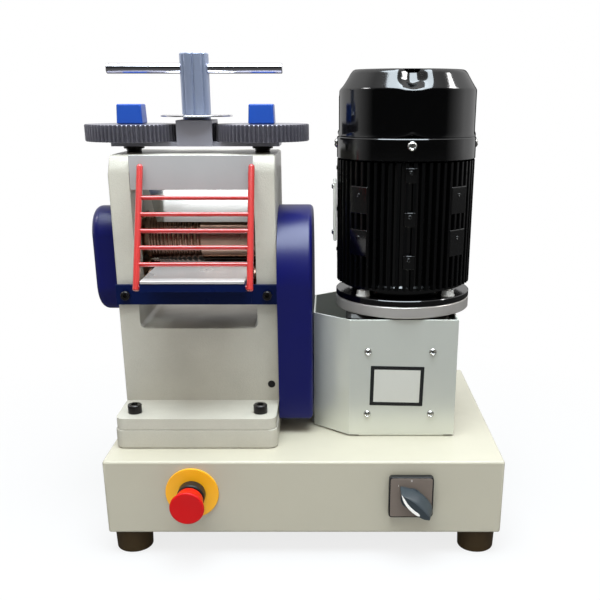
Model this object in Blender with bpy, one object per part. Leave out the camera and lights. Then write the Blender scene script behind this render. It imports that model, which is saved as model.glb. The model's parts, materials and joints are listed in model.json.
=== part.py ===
"""Electric jewellers rolling mill, built as separate pieces in one frame.

Metres, +Z up, front towards -Y. Inside the file every place is measured from
the middle of the cabinet's front face at floor level: x to the right, y to
the back, z up. The datum empty then moves all of it so that the origin is
under the middle of the whole mill.
"""
import math

import bmesh
import bpy
from mathutils import Matrix, Vector

# Clearances
GAP = 0.0003            # between pieces that touch, rest or turn on each other
OVERRUN = 0.003         # how far a cutter runs past the face it opens

# Round pieces
FINE = 24               # sides of a shaft, a bore and a roll
COARSE = 18             # sides of a plain round piece
SMALL = 10              # sides of a bolt or a rod
THIN = 8                # sides of a rod thinner than a bolt
ARC_STEPS = 3           # points on a rounded corner
SHARP_ANGLE = math.radians(32)
BEVEL_ANGLE = math.radians(40)

# Gear teeth: shares of the module, and of the pitch for the flank clearance
ADDENDUM_SHARE = 0.92
DEDENDUM_SHARE = 1.20
TOOTH_SHARE = 0.86
PRESSURE = math.radians(20)

# Base cabinet and its rubber feet
BASE_W = 0.450
BASE_D = 0.340
BASE_H = 0.089
BASE_WALL = 0.002
BASE_EDGE = 0.0025
FOOT_R = 0.0215
FOOT_H = 0.028
FOOT_INSET = 0.024
FOOT_EDGE = 0.002

# Emergency stop
ESTOP_X = -0.126
ESTOP_RISE = 0.051      # above the cabinet's bottom edge
ESTOP_RING_R = 0.030
ESTOP_RING_T = 0.002
ESTOP_COLLAR_R = 0.0155
ESTOP_COLLAR_L = 0.012
ESTOP_NECK_R = 0.011
ESTOP_NECK_L = 0.034
ESTOP_STEM_R = 0.006
ESTOP_STEM_L = 0.020
ESTOP_HEAD_R = 0.019
ESTOP_HEAD_L = 0.021
ESTOP_CROWN = 0.006
ESTOP_TRAVEL = 0.004
ESTOP_HEAD_RUN = 0.0015

# Cam switch
SWITCH_X = 0.1205
SWITCH_RISE = 0.0485
SWITCH_SIZE = 0.050
SWITCH_T = 0.008
SWITCH_EDGE = 0.001
SWITCH_NECK_R = 0.010
SWITCH_BODY = 0.042
SWITCH_BODY_L = 0.040
KNOB_R = 0.0165
KNOB_BASE_T = 0.006
KNOB_L = 0.021
KNOB_GRIP_R = 0.0065
KNOB_POINTER_REACH = 0.017
KNOB_TAIL_REACH = 0.026
KNOB_TURN = math.radians(45)
KNOB_PIN_R = 0.004
KNOB_PIN_L = 0.006

# Electrics inside the cabinet, and the cable gland on its back
CONTACTOR_W = 0.045
CONTACTOR_D = 0.075
CONTACTOR_H = 0.055
CONTACTOR_X = 0.030
GLAND_R = 0.011
GLAND_NECK_R = 0.008
GLAND_BORE_R = 0.005
GLAND_L = 0.018
GLAND_TAIL = 0.004      # how far the neck reaches inside the wall
GLAND_INSET = 0.050     # from the cabinet's right side

# Pedestal and mill frame
MILL_X = -0.1245
PEDESTAL_W = 0.186
PEDESTAL_H = 0.023
PEDESTAL_CORNER = 0.010
FLANGE_W = 0.184
FLANGE_D = 0.260
FLANGE_T = 0.013
FLANGE_CORNER = 0.010
WINDOW_W = 0.138
WINDOW_H = 0.159
WINDOW_CORNER = 0.006
COLUMN_W = 0.024
FRAME_D = 0.130
FRAME_FRONT = 0.102
FRAME_EDGE = 0.003
SILL_H = 0.0894
CROWN_H = 0.037
CROWN_SLOPE_H = 0.020
CROWN_SLOPE_D = 0.014
CROWN_PLATE_T = 0.003
CROWN_RECESS = 0.005

# Foot bolts
BOLT_SPACING_X = 0.146
BOLT_INSET = 0.022
BOLT_R = 0.005
BOLT_HEAD_R = 0.008
BOLT_HEAD_H = 0.010
BOLT_SOCKET_R = 0.0046
BOLT_SOCKET_DEPTH = 0.006
BOLT_GRIP = 0.012       # length of thread in the pedestal

# Rolls and their bearing blocks
ROLL_R = 0.0275
ROLL_L = 0.130
ROLL_GAP = 0.0006       # between the rolls as shown
ROLL_LIFT = 0.003
LOWER_AXIS_RISE = 0.0432
NECK_R = 0.014
GEAR_SEAT_R = 0.010
NECK_OVER = 0.001
GROOVES = 10
GROOVE_START = 0.004
GROOVE_FIRST = 0.0030
GROOVE_GROWTH_SHARE = 1.09
GROOVE_DEPTH_SHARE = 0.42
CHOCK_D = 0.0514
CHOCK_H = 0.044
SLOT_HEADROOM = 0.0025

# Lift springs between the bearing blocks
SPRING_R = 0.006
SPRING_WIRE_R = 0.0008
SPRING_TURNS = 3
SPRING_TURN_POINTS = 8

# Crossbar, feed shelf and feed table
BAR_RISE = 0.030        # above the window's floor
BAR_H = 0.023
BAR_T = 0.005
FEED_OFFSET = 0.006     # feed and guard sit right of the mill's middle
SHELF_W = 0.114
SHELF_T = 0.0085
SHELF_FRONT = 0.033
TABLE_W = 0.112
TABLE_T = 0.003
TABLE_NOSE = 0.001      # how far the table stands out past the shelf
TABLE_RUN = 0.003       # from the table's back edge to the lower roll
TABLE_BELOW_NIP = 0.0002

# Stripper plate
STRIPPER_T = 0.002
STRIPPER_INSET = 0.020
STRIPPER_FRONT = 0.005  # behind the frame's front face
STRIPPER_LIP = 0.016
STRIPPER_RUN = 0.033
STRIPPER_DROP = 0.040

# Guard
RAIL_R = 0.00365
RAIL_L = 0.1356
RAIL_SPACING = 0.123
GUARD_BAR_R = 0.0024
GUARD_BARS = 5
GUARD_FIRST_BAR = 0.0254
GUARD_BAR_PITCH = 0.0188
GUARD_TOP_RUN = 0.003   # from the rail's top centre to the frame's front
GUARD_PIVOT_IN = 0.004  # behind the shelf's front edge
GUARD_STUB_R = 0.002
GUARD_STUB_L = 0.006

# Screw-down head
SCREW_MODULE = 0.0016
SCREW_TEETH = 66
SPINDLE_TEETH = 28
SCREW_GEAR_T = 0.0185
SCREW_R = 0.009
SCREW_TIP_R = 0.006
SCREW_TIP_RISE = 0.0025
SCREW_COLLAR_R = 0.012
SCREW_COLLAR_H = 0.003
SCREW_SPIGOT_R = 0.007
SCREW_SPIGOT_L = 0.014
BRIDGE_RISE = 0.0075
BRIDGE_T = 0.005
BRIDGE_END = 0.0208     # from a screw's axis to the bridge's end
BRIDGE_D = 0.048
CHEEK_T = 0.0025
BLOCK_W = 0.041
BLOCK_ROOF_T = 0.004
CAP_SIZE = 0.030
CAP_H = 0.0215
CAP_TOP_SHARE = 0.94
CAP_EDGE = 0.0015
SPINDLE_FOOT_R = 0.008
SPINDLE_SHAFT_R = 0.012
SPINDLE_COLLAR_R = 0.016
SPINDLE_COLLAR_H = 0.003
DIAL_R = 0.0415
DIAL_T = 0.0015
KNURL_R = 0.0165
KNURL_DEPTH = 0.0022
KNURL_RIDGES = 8
KNURL_STEPS = 4         # outline points to a ridge
KNURL_H = 0.066
TEE_R = 0.006
TEE_L = 0.200
TEE_BELOW_TOP = 0.016
TEE_EDGE = 0.002

# Roll gears and the left cover
ROLL_TEETH = 22
ROLL_GEAR_W = 0.020
GEAR_SIDE_RUN = 0.004
COVER_WALL = 0.002
COVER_EDGE = 0.010
LEFT_COVER_W = 0.0337
LEFT_COVER_RUN = 0.0015

# Drive train and the right cover
DRIVE_MODULE = 0.0035
MAIN_TEETH = 40
PINION_TEETH = 20
MAIN_GEAR_W = 0.022
MAIN_SIDE_RUN = 0.006
RIGHT_COVER_W = 0.0403
RIGHT_COVER_RUN = 0.0085
RIGHT_COVER_RISE = 0.0083
RIGHT_COVER_EDGE = 0.004
PINION_RUN = 0.0066

# Gearbox and its sheet cabinet
CABINET_LEFT = 0.010
CABINET_RIGHT = 0.177
CABINET_FRONT = 0.0755
CABINET_BACK = 0.243
CABINET_CHAMFER_X = 0.042
CABINET_CHAMFER_Y = 0.036
CABINET_TOP_RISE = 0.143
CABINET_FOOT_GAP = 0.002
CABINET_WALL = 0.002
CABINET_FOOT_W = 0.012
HOUSING_W = 0.118
HOUSING_D = 0.120
HOUSING_TOP_RISE = 0.1447
HOUSING_EDGE = 0.004
WORM_CENTRE = 0.035
WORM_R = 0.011
WORM_L = 0.036
WORM_TAIL = 0.033
WORM_ROOM = 0.0025
WHEEL_TEETH = 20
WHEEL_R = 0.0235
WHEEL_W = 0.016
WHEEL_ROOM = 0.003
SHAFT_R = 0.010
SHAFT_END = 0.006
END_CAP_R = 0.034
END_CAP_T = 0.0045
END_CAP_PLUG_L = 0.018

# Motor
MOTOR_X = 0.117
MOTOR_Y = 0.152
ADAPTER_R = 0.080
ADAPTER_T = 0.013
FLANGE_PLATE_R = 0.080
FLANGE_PLATE_T = 0.007
FLANGE_NECK_R = 0.062
FLANGE_NECK_H = 0.008
MOTOR_R = 0.0795
MOTOR_CORE_SHARE = 0.90
MOTOR_FINS = 24
MOTOR_FIN_SHARE = 0.45
MOTOR_BODY_H = 0.143
MOTOR_BAND_H = 0.024
MOTOR_BORE_R = 0.0465
MOTOR_ROOF_T = 0.017
ROTOR_R = 0.044
ROTOR_END_RUN = 0.010
MOTOR_SHAFT_R = 0.009
COWL_R = 0.0775
COWL_H = 0.070
COWL_CHAMFER_R = 0.013
COWL_CHAMFER_H = 0.019
COWL_WALL = 0.002
COWL_EYE_R = 0.012
FAN_R = 0.064
FAN_HUB_R = 0.016
FAN_BLADES = 8
FAN_BLADE_T = 0.003
FAN_H = 0.026
FAN_RISE = 0.006
TERMINAL_T = 0.004
TERMINAL_D = 0.050
TERMINAL_H = 0.067
TERMINAL_RISE = 0.051
TERMINAL_EDGE = 0.001

# Heights that follow from the sizes above
BASE_BOTTOM = FOOT_H
BASE_TOP = BASE_BOTTOM + BASE_H
PEDESTAL_BOTTOM = BASE_TOP + GAP
PEDESTAL_TOP = PEDESTAL_BOTTOM + PEDESTAL_H
FLANGE_BOTTOM = PEDESTAL_TOP + GAP
FLANGE_TOP = FLANGE_BOTTOM + FLANGE_T
WINDOW_FLOOR = FLANGE_TOP + SILL_H
WINDOW_TOP = WINDOW_FLOOR + WINDOW_H
FRAME_TOP = WINDOW_TOP + CROWN_H
LOWER_Z = WINDOW_FLOOR + LOWER_AXIS_RISE
UPPER_Z = LOWER_Z + 2 * ROLL_R + ROLL_GAP
SLOT_BOTTOM = LOWER_Z - CHOCK_H / 2 - GAP
SLOT_TOP = UPPER_Z + CHOCK_H / 2 + ROLL_LIFT + SLOT_HEADROOM
NIP_BOTTOM = LOWER_Z + ROLL_R
TABLE_TOP = NIP_BOTTOM - TABLE_BELOW_NIP
TABLE_BOTTOM = TABLE_TOP - TABLE_T
SHELF_TOP = TABLE_BOTTOM - GAP
BAR_BOTTOM = WINDOW_FLOOR + BAR_RISE
BRIDGE_BOTTOM = FRAME_TOP + BRIDGE_RISE
BRIDGE_TOP = BRIDGE_BOTTOM + BRIDGE_T
GEAR_BOTTOM = BRIDGE_TOP + GAP
GEAR_TOP = GEAR_BOTTOM + SCREW_GEAR_T
ROOF_BOTTOM = GEAR_TOP + 2 * GAP
ROOF_TOP = ROOF_BOTTOM + BLOCK_ROOF_T
DIAL_BOTTOM = ROOF_TOP + GAP + SPINDLE_COLLAR_H + GAP
DIAL_TOP = DIAL_BOTTOM + DIAL_T
KNURL_BOTTOM = DIAL_TOP + GAP
KNURL_TOP = KNURL_BOTTOM + KNURL_H

# Places across and along that follow from the sizes above
FRAME_W = WINDOW_W + 2 * COLUMN_W
ROLL_Y = FRAME_FRONT + FRAME_D / 2
FLANGE_FRONT = ROLL_Y - FLANGE_D / 2
FEED_X = MILL_X + FEED_OFFSET
SCREW_DX = (SCREW_TEETH + SPINDLE_TEETH) * SCREW_MODULE / 2
BRIDGE_W = 2 * (SCREW_DX + BRIDGE_END)
FRAME_LEFT = MILL_X - FRAME_W / 2
FRAME_RIGHT = MILL_X + FRAME_W / 2
COLUMN_DX = (WINDOW_W + COLUMN_W) / 2
ROLL_MODULE = 2 * ROLL_R / ROLL_TEETH
ROLL_GEAR_TIP_R = ROLL_R + ROLL_MODULE
MAIN_TIP_R = (MAIN_TEETH / 2 + 1) * DRIVE_MODULE
PINION_TIP_R = (PINION_TEETH / 2 + 1) * DRIVE_MODULE
DRIVE_CENTRES = (MAIN_TEETH + PINION_TEETH) * DRIVE_MODULE / 2
SHAFT_Y = MOTOR_Y + WORM_CENTRE
SHAFT_Z = LOWER_Z - math.sqrt(DRIVE_CENTRES ** 2 - (SHAFT_Y - ROLL_Y) ** 2)
DRIVE_ANGLE = math.atan2(SHAFT_Z - LOWER_Z, SHAFT_Y - ROLL_Y)
LEFT_COVER_OUT = FRAME_LEFT - GAP - LEFT_COVER_W
RIGHT_COVER_OUT = FRAME_RIGHT + GAP + RIGHT_COVER_W
RIGHT_COVER_R = MAIN_TIP_R + RIGHT_COVER_RUN + COVER_WALL
RIGHT_COVER_BOTTOM = SHAFT_Z - PINION_TIP_R - PINION_RUN - COVER_WALL
MAIN_GEAR_X = FRAME_RIGHT + MAIN_SIDE_RUN
ROLL_GEAR_X = FRAME_LEFT - GEAR_SIDE_RUN - ROLL_GEAR_W
CABINET_TOP = BASE_TOP + CABINET_TOP_RISE
HOUSING_TOP = BASE_TOP + HOUSING_TOP_RISE
ADAPTER_BOTTOM = HOUSING_TOP + GAP
ADAPTER_TOP = ADAPTER_BOTTOM + ADAPTER_T
MOTOR_FLANGE_BOTTOM = ADAPTER_TOP + GAP
MOTOR_NECK_TOP = MOTOR_FLANGE_BOTTOM + FLANGE_PLATE_T + FLANGE_NECK_H
MOTOR_BOTTOM = MOTOR_NECK_TOP + GAP
MOTOR_TOP = MOTOR_BOTTOM + MOTOR_BODY_H + MOTOR_BAND_H
COWL_BOTTOM = MOTOR_TOP + GAP
COWL_TOP = COWL_BOTTOM + COWL_H
ESTOP_PROUD = (ESTOP_RING_T + ESTOP_COLLAR_L + ESTOP_TRAVEL + ESTOP_HEAD_RUN
               + ESTOP_HEAD_L + 2 * GAP)
SCREW_GEAR_TIP_R = (SCREW_TEETH / 2 + ADDENDUM_SHARE) * SCREW_MODULE
LEFT_REACH = max(-LEFT_COVER_OUT, SCREW_DX + SCREW_GEAR_TIP_R - MILL_X)
DATUM_X = (LEFT_REACH - BASE_W / 2) / 2
GLAND_REACH = GLAND_L + GAP
DATUM_Y = (ESTOP_PROUD - BASE_D - GLAND_REACH) / 2

PLANES = {
    "XY": Matrix.Identity(3),
    "YZ": Matrix(((0, 0, 1), (1, 0, 0), (0, 1, 0))),
    "XZ": Matrix(((1, 0, 0), (0, 0, 1), (0, 1, 0))),
}
AXES = {
    "Z": Matrix.Identity(3),
    "X": Matrix(((0, 0, 1), (1, 0, 0), (0, 1, 0))),
    "Y": Matrix(((1, 0, 0), (0, 0, 1), (0, 1, 0))),
}

for old in list(bpy.data.objects):
    bpy.data.objects.remove(old, do_unlink=True)

datum = bpy.data.objects.new("datum", None)
bpy.context.collection.objects.link(datum)
datum.location = (DATUM_X, DATUM_Y, 0)


def finish(name, colour, roughness, metallic):
    """Return a Principled material of this colour, roughness and metallic value."""
    material = bpy.data.materials.new(name)
    material.use_nodes = True
    shader = material.node_tree.nodes["Principled BSDF"]
    shader.inputs["Base Color"].default_value = (*colour, 1)
    shader.inputs["Roughness"].default_value = roughness
    shader.inputs["Metallic"].default_value = metallic
    material.diffuse_color = (*colour, 1)
    return material


PAINT = finish("grey_white_paint", (0.58, 0.56, 0.50), 0.45, 0.0)
BASE_PAINT = finish("base_paint", (0.60, 0.58, 0.51), 0.45, 0.0)
PLATE_GREY = finish("crown_grey", (0.46, 0.45, 0.43), 0.4, 0.2)
BLUE_PAINT = finish("blue_paint", (0.01, 0.045, 0.20), 0.35, 0.0)
NAVY_PAINT = finish("navy_paint", (0.010, 0.010, 0.12), 0.25, 0.0)
CAP_BLUE = finish("cap_blue", (0.03, 0.10, 0.38), 0.4, 0.0)
RED_PAINT = finish("red_paint", (0.72, 0.05, 0.04), 0.35, 0.0)
BUTTON_RED = finish("button_red", (0.62, 0.01, 0.02), 0.35, 0.0)
LEGEND_YELLOW = finish("legend_yellow", (0.85, 0.60, 0.02), 0.45, 0.0)
BLACK_PLASTIC = finish("black_plastic", (0.015, 0.015, 0.016), 0.4, 0.0)
RUBBER = finish("rubber", (0.02, 0.016, 0.012), 0.8, 0.0)
TAUPE = finish("switch_face", (0.25, 0.20, 0.17), 0.4, 0.3)
BLACK_STEEL = finish("black_steel", (0.03, 0.03, 0.03), 0.4, 0.8)
GEAR_STEEL = finish("gear_steel", (0.13, 0.13, 0.15), 0.35, 1.0)
ROLL_STEEL = finish("roll_steel", (0.42, 0.36, 0.29), 0.25, 1.0)
BRIGHT_STEEL = finish("bright_steel", (0.62, 0.62, 0.62), 0.18, 1.0)
BLOCK_STEEL = finish("block_steel", (0.33, 0.33, 0.32), 0.35, 0.9)
CHROME = finish("chrome", (0.70, 0.70, 0.70), 0.1, 1.0)
BRONZE = finish("bronze", (0.45, 0.28, 0.10), 0.35, 1.0)
SHEET = finish("silver_sheet", (0.50, 0.49, 0.46), 0.4, 0.5)
CASTING = finish("aluminium_casting", (0.42, 0.42, 0.42), 0.5, 0.9)
MOTOR_BLACK = finish("motor_black", (0.010, 0.010, 0.011), 0.2, 0.0)


def place(name, mesh, at, material=None):
    """Make one object of a bmesh, with its origin at a point of the mill."""
    bmesh.ops.recalc_face_normals(mesh, faces=mesh.faces)
    data = bpy.data.meshes.new(name)
    mesh.to_mesh(data)
    mesh.free()
    data.shade_smooth()
    data.set_sharp_from_angle(angle=SHARP_ANGLE)
    piece = bpy.data.objects.new(name, data)
    bpy.context.collection.objects.link(piece)
    piece.parent = datum
    piece.location = at
    if material is None:
        piece.hide_render = True
        piece.display_type = "WIRE"
    else:
        data.materials.append(material)
    return piece


def prism(name, outline, low, high, plane="XY", at=(0, 0, 0), material=None, top_share=1):
    """Extrude an outline from low to high across a plane; top_share narrows its far end."""
    mesh = bmesh.new()
    turn = PLANES[plane]
    ends = []
    for level, share in ((low, 1), (high, top_share)):
        ends.append([mesh.verts.new(turn @ Vector((u * share, v * share, level)))
                     for u, v in outline])
    count = len(outline)
    mesh.faces.new(ends[0])
    mesh.faces.new(ends[1])
    for k in range(count):
        after = (k + 1) % count
        mesh.faces.new((ends[0][k], ends[0][after], ends[1][after], ends[1][k]))
    return place(name, mesh, at, material)


def turned(name, profile, axis="Z", at=(0, 0, 0), material=None, sides=COARSE):
    """Revolve (radius, height) points about an axis; a profile off the axis is a ring."""
    mesh = bmesh.new()
    turn = AXES[axis]
    rings = []
    for radius, height in profile:
        steps = range(sides) if radius > 0 else range(1)
        rings.append([mesh.verts.new(turn @ Vector((
            radius * math.cos(math.tau * k / sides),
            radius * math.sin(math.tau * k / sides), height))) for k in steps])
    followers = rings[1:] + (rings[:1] if profile[0][0] > 0 else [])
    for first, second in zip(rings, followers):
        for k in range(sides):
            ring = []
            for verts, index in ((first, k), (first, k + 1), (second, k + 1), (second, k)):
                vert = verts[index % len(verts)]
                if vert not in ring:
                    ring.append(vert)
            mesh.faces.new(ring)
    return place(name, mesh, at, material)


def rod(name, radius, low, high, axis="Z", at=(0, 0, 0), material=None, sides=FINE):
    """Make a plain cylinder from low to high along an axis."""
    profile = ((0, low), (radius, low), (radius, high), (0, high))
    return turned(name, profile, axis, at, material, sides)


def box(name, low, high, material=None):
    """Make a box between two opposite corners."""
    outline = ((low[0], low[1]), (high[0], low[1]), (high[0], high[1]), (low[0], high[1]))
    return prism(name, outline, low[2], high[2], material=material)


def arc(centre, radius, start, end, steps=ARC_STEPS):
    """Return points on an arc, both ends included."""
    return [(centre[0] + radius * math.cos(start + (end - start) * k / steps),
             centre[1] + radius * math.sin(start + (end - start) * k / steps))
            for k in range(steps + 1)]


def rounded(low, high, radius, steps=ARC_STEPS):
    """Return a rectangle's outline with round corners."""
    outline = []
    corners = ((high[0] - radius, high[1] - radius), (low[0] + radius, high[1] - radius),
               (low[0] + radius, low[1] + radius), (high[0] - radius, low[1] + radius))
    for k, centre in enumerate(corners):
        outline += arc(centre, radius, math.pi / 2 * k, math.pi / 2 * (k + 1), steps)
    return outline


def square(half):
    """Return a square's outline from its half width."""
    return ((-half, -half), (half, -half), (half, half), (-half, half))


def gear_outline(teeth, module, phase):
    """Return a spur gear's outline, with the middle of a tooth at the phase angle."""
    pitch_r = teeth * module / 2
    half_tooth = math.pi * module * TOOTH_SHARE / 4
    tip_r = pitch_r + ADDENDUM_SHARE * module
    root_r = pitch_r - DEDENDUM_SHARE * module
    tip_half = (half_tooth - ADDENDUM_SHARE * module * math.tan(PRESSURE)) / tip_r
    root_half = (half_tooth + DEDENDUM_SHARE * module * math.tan(PRESSURE)) / root_r
    outline = []
    for k in range(teeth):
        middle = phase + math.tau * k / teeth
        for radius, angle in ((root_r, -root_half), (tip_r, -tip_half),
                              (tip_r, tip_half), (root_r, root_half)):
            outline.append((radius * math.cos(middle + angle), radius * math.sin(middle + angle)))
    return outline


def combine(piece, tools, operation):
    """Cut the tools out of a piece, or join them to it, in the order given."""
    for tool in tools:
        tool.name = f"tool_{piece.name}_{tool.name}"
        tool.hide_render = True
        tool.display_type = "WIRE"
        change = piece.modifiers.new(tool.name, "BOOLEAN")
        change.operation = operation
        change.solver = "EXACT"
        change.object = tool
    return piece


def cut(piece, *tools):
    """Take the tools out of a piece."""
    return combine(piece, tools, "DIFFERENCE")


def join(piece, *tools):
    """Weld the tools to a piece."""
    return combine(piece, tools, "UNION")


def soften(piece, width, segments=2):
    """Round a piece's sharp edges."""
    bevel = piece.modifiers.new("edges", "BEVEL")
    bevel.width = width
    bevel.segments = segments
    bevel.limit_method = "ANGLE"
    bevel.angle_limit = BEVEL_ANGLE
    return piece


def build_base():
    """Sheet cabinet, its bottom plate, four feet, the electrics inside and the gland."""
    half = BASE_W / 2
    cabinet = soften(box("base_cabinet", (-half, 0, BASE_BOTTOM), (half, BASE_D, BASE_TOP),
                         BASE_PAINT), BASE_EDGE)
    inner = half - BASE_WALL
    plate_top = BASE_BOTTOM + BASE_WALL
    hollow = box("hollow", (-inner, BASE_WALL, BASE_BOTTOM - OVERRUN),
                 (inner, BASE_D - BASE_WALL, BASE_TOP - BASE_WALL))
    estop_z = BASE_BOTTOM + ESTOP_RISE
    switch_z = BASE_BOTTOM + SWITCH_RISE
    gland_x = half - GLAND_INSET
    gland_z = BASE_BOTTOM + BASE_H / 2
    holes = [
        rod("stop_hole", ESTOP_NECK_R + GAP, -OVERRUN, BASE_WALL + OVERRUN, "Y",
            (ESTOP_X, 0, estop_z)),
        rod("switch_hole", SWITCH_NECK_R + GAP, -OVERRUN, BASE_WALL + OVERRUN, "Y",
            (SWITCH_X, 0, switch_z)),
        rod("gland_hole", GLAND_NECK_R + GAP, BASE_D - BASE_WALL - OVERRUN, BASE_D + OVERRUN,
            "Y", (gland_x, 0, gland_z)),
    ]
    cut(cabinet, hollow, *holes)

    seat = inner - GAP
    box("base_bottom_plate", (-seat, BASE_WALL + GAP, BASE_BOTTOM),
        (seat, BASE_D - BASE_WALL - GAP, plate_top), SHEET)

    foot_top = BASE_BOTTOM - GAP
    profile = ((0, 0), (FOOT_R - FOOT_EDGE, 0), (FOOT_R, FOOT_EDGE),
               (FOOT_R, foot_top), (0, foot_top))
    for side, x in (("left", -half + FOOT_INSET), ("right", half - FOOT_INSET)):
        for end, y in (("front", FOOT_INSET), ("rear", BASE_D - FOOT_INSET)):
            turned(f"foot_{end}_{side}", profile, at=(x, y, 0), material=RUBBER, sides=COARSE)

    low_y = BASE_D / 2 - CONTACTOR_D / 2
    soften(box("contactor_block",
               (CONTACTOR_X, low_y, plate_top + GAP),
               (CONTACTOR_X + CONTACTOR_W, low_y + CONTACTOR_D, plate_top + GAP + CONTACTOR_H),
               BLACK_PLASTIC), BASE_EDGE, 1)

    gland_at = (gland_x, 0, gland_z)
    tail_y = BASE_D - BASE_WALL - GLAND_TAIL
    nose_y = BASE_D + GAP + GLAND_L
    gland = rod("cable_gland", GLAND_R, BASE_D + GAP, nose_y, "Y", gland_at, BLACK_PLASTIC, SMALL)
    join(gland, rod("neck", GLAND_NECK_R, tail_y, BASE_D + OVERRUN, "Y", gland_at, sides=SMALL))
    cut(gland, rod("bore", GLAND_BORE_R, tail_y - OVERRUN, nose_y + OVERRUN, "Y", gland_at,
                   sides=SMALL))


def build_estop():
    """Yellow legend ring, black collar and the red mushroom button that slides in it."""
    at = (ESTOP_X, 0, BASE_BOTTOM + ESTOP_RISE)
    ring_front = -GAP - ESTOP_RING_T
    ring = ((ESTOP_NECK_R + GAP, -GAP), (ESTOP_NECK_R + GAP, ring_front),
            (ESTOP_RING_R, ring_front), (ESTOP_RING_R, -GAP))
    turned("estop_legend_ring", ring, "Y", at, LEGEND_YELLOW, FINE)

    collar_back = ring_front - GAP
    collar_front = collar_back - ESTOP_COLLAR_L
    bore_r = ESTOP_STEM_R + GAP
    bore_end = collar_front + ESTOP_STEM_L + ESTOP_TRAVEL
    collar = ((0, ESTOP_NECK_L), (ESTOP_NECK_R, ESTOP_NECK_L), (ESTOP_NECK_R, collar_back),
              (ESTOP_COLLAR_R, collar_back), (ESTOP_COLLAR_R, collar_front),
              (bore_r, collar_front), (bore_r, bore_end), (0, bore_end))
    turned("estop_collar", collar, "Y", at, BLACK_PLASTIC, COARSE)

    head_back = collar_front - ESTOP_TRAVEL - ESTOP_HEAD_RUN
    head_front = head_back - ESTOP_HEAD_L
    shoulder = head_front + ESTOP_CROWN
    crown = []
    for k in range(ARC_STEPS + 1):
        angle = math.pi / 2 * k / ARC_STEPS
        crown.append((ESTOP_HEAD_R - ESTOP_CROWN * (1 - math.cos(angle)),
                      shoulder - ESTOP_CROWN * math.sin(angle)))
    waist = ESTOP_HEAD_R - ESTOP_CROWN / 2
    profile = [(0, head_back + ESTOP_STEM_L), (ESTOP_STEM_R, head_back + ESTOP_STEM_L),
               (ESTOP_STEM_R, head_back), (waist, head_back),
               (ESTOP_HEAD_R, head_back - ESTOP_CROWN)] + crown + [(0, head_front)]
    turned("estop_button", profile, "Y", at, BUTTON_RED, COARSE)


def build_switch():
    """Square cam switch with its body behind the panel, and the lever knob."""
    at = (SWITCH_X, 0, BASE_BOTTOM + SWITCH_RISE)
    half = SWITCH_SIZE / 2
    front = -GAP - SWITCH_T
    plate = soften(prism("switch_plate", square(half), front, -GAP, "XZ", at, TAUPE),
                   SWITCH_EDGE, 1)
    body_half = SWITCH_BODY / 2
    body_back = BASE_WALL + GAP + SWITCH_BODY_L
    body = prism("body", square(body_half), BASE_WALL + GAP, body_back, "XZ", at)
    neck = rod("neck", SWITCH_NECK_R, front / 2, BASE_WALL + OVERRUN, "Y", at)
    pin_hole = rod("pin_hole", KNOB_PIN_R + GAP, front - OVERRUN, front + KNOB_PIN_L + GAP,
                   "Y", at, sides=COARSE)
    cut(join(plate, neck, body), pin_hole)

    knob_back = front - GAP
    grip = (arc((KNOB_TAIL_REACH - KNOB_GRIP_R, 0), KNOB_GRIP_R, -math.pi / 2, math.pi / 2)
            + arc((-KNOB_POINTER_REACH + KNOB_GRIP_R, 0), KNOB_GRIP_R,
                  math.pi / 2, math.pi * 3 / 2))
    turn = -KNOB_TURN
    grip = [(u * math.cos(turn) - v * math.sin(turn), u * math.sin(turn) + v * math.cos(turn))
            for u, v in grip]
    knob = rod("switch_knob", KNOB_R, knob_back - KNOB_BASE_T, knob_back, "Y", at,
               BLACK_PLASTIC, COARSE)
    handle = soften(prism("grip", grip, knob_back - KNOB_L, knob_back - KNOB_BASE_T / 2,
                          "XZ", at), SWITCH_EDGE, 1)
    pin = rod("pin", KNOB_PIN_R, knob_back - KNOB_BASE_T / 2, front + KNOB_PIN_L, "Y", at,
              sides=COARSE)
    join(knob, handle, pin)


def bolt_places():
    """Return the name and place of each foot bolt."""
    places = []
    for side, sign in (("left", -1), ("right", 1)):
        for end, y in (("front", FLANGE_FRONT + BOLT_INSET),
                       ("rear", FLANGE_FRONT + FLANGE_D - BOLT_INSET)):
            places.append((f"foot_bolt_{end}_{side}", MILL_X + sign * BOLT_SPACING_X / 2, y))
    return places


def drive_outline(radius, bottom):
    """Return the drive cover's outline, half round above and square below."""
    middle = (ROLL_Y, LOWER_Z + RIGHT_COVER_RISE)
    return (arc(middle, radius, 0, math.pi, ARC_STEPS * 4)
            + [(ROLL_Y - radius, bottom), (ROLL_Y + radius, bottom)])


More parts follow.
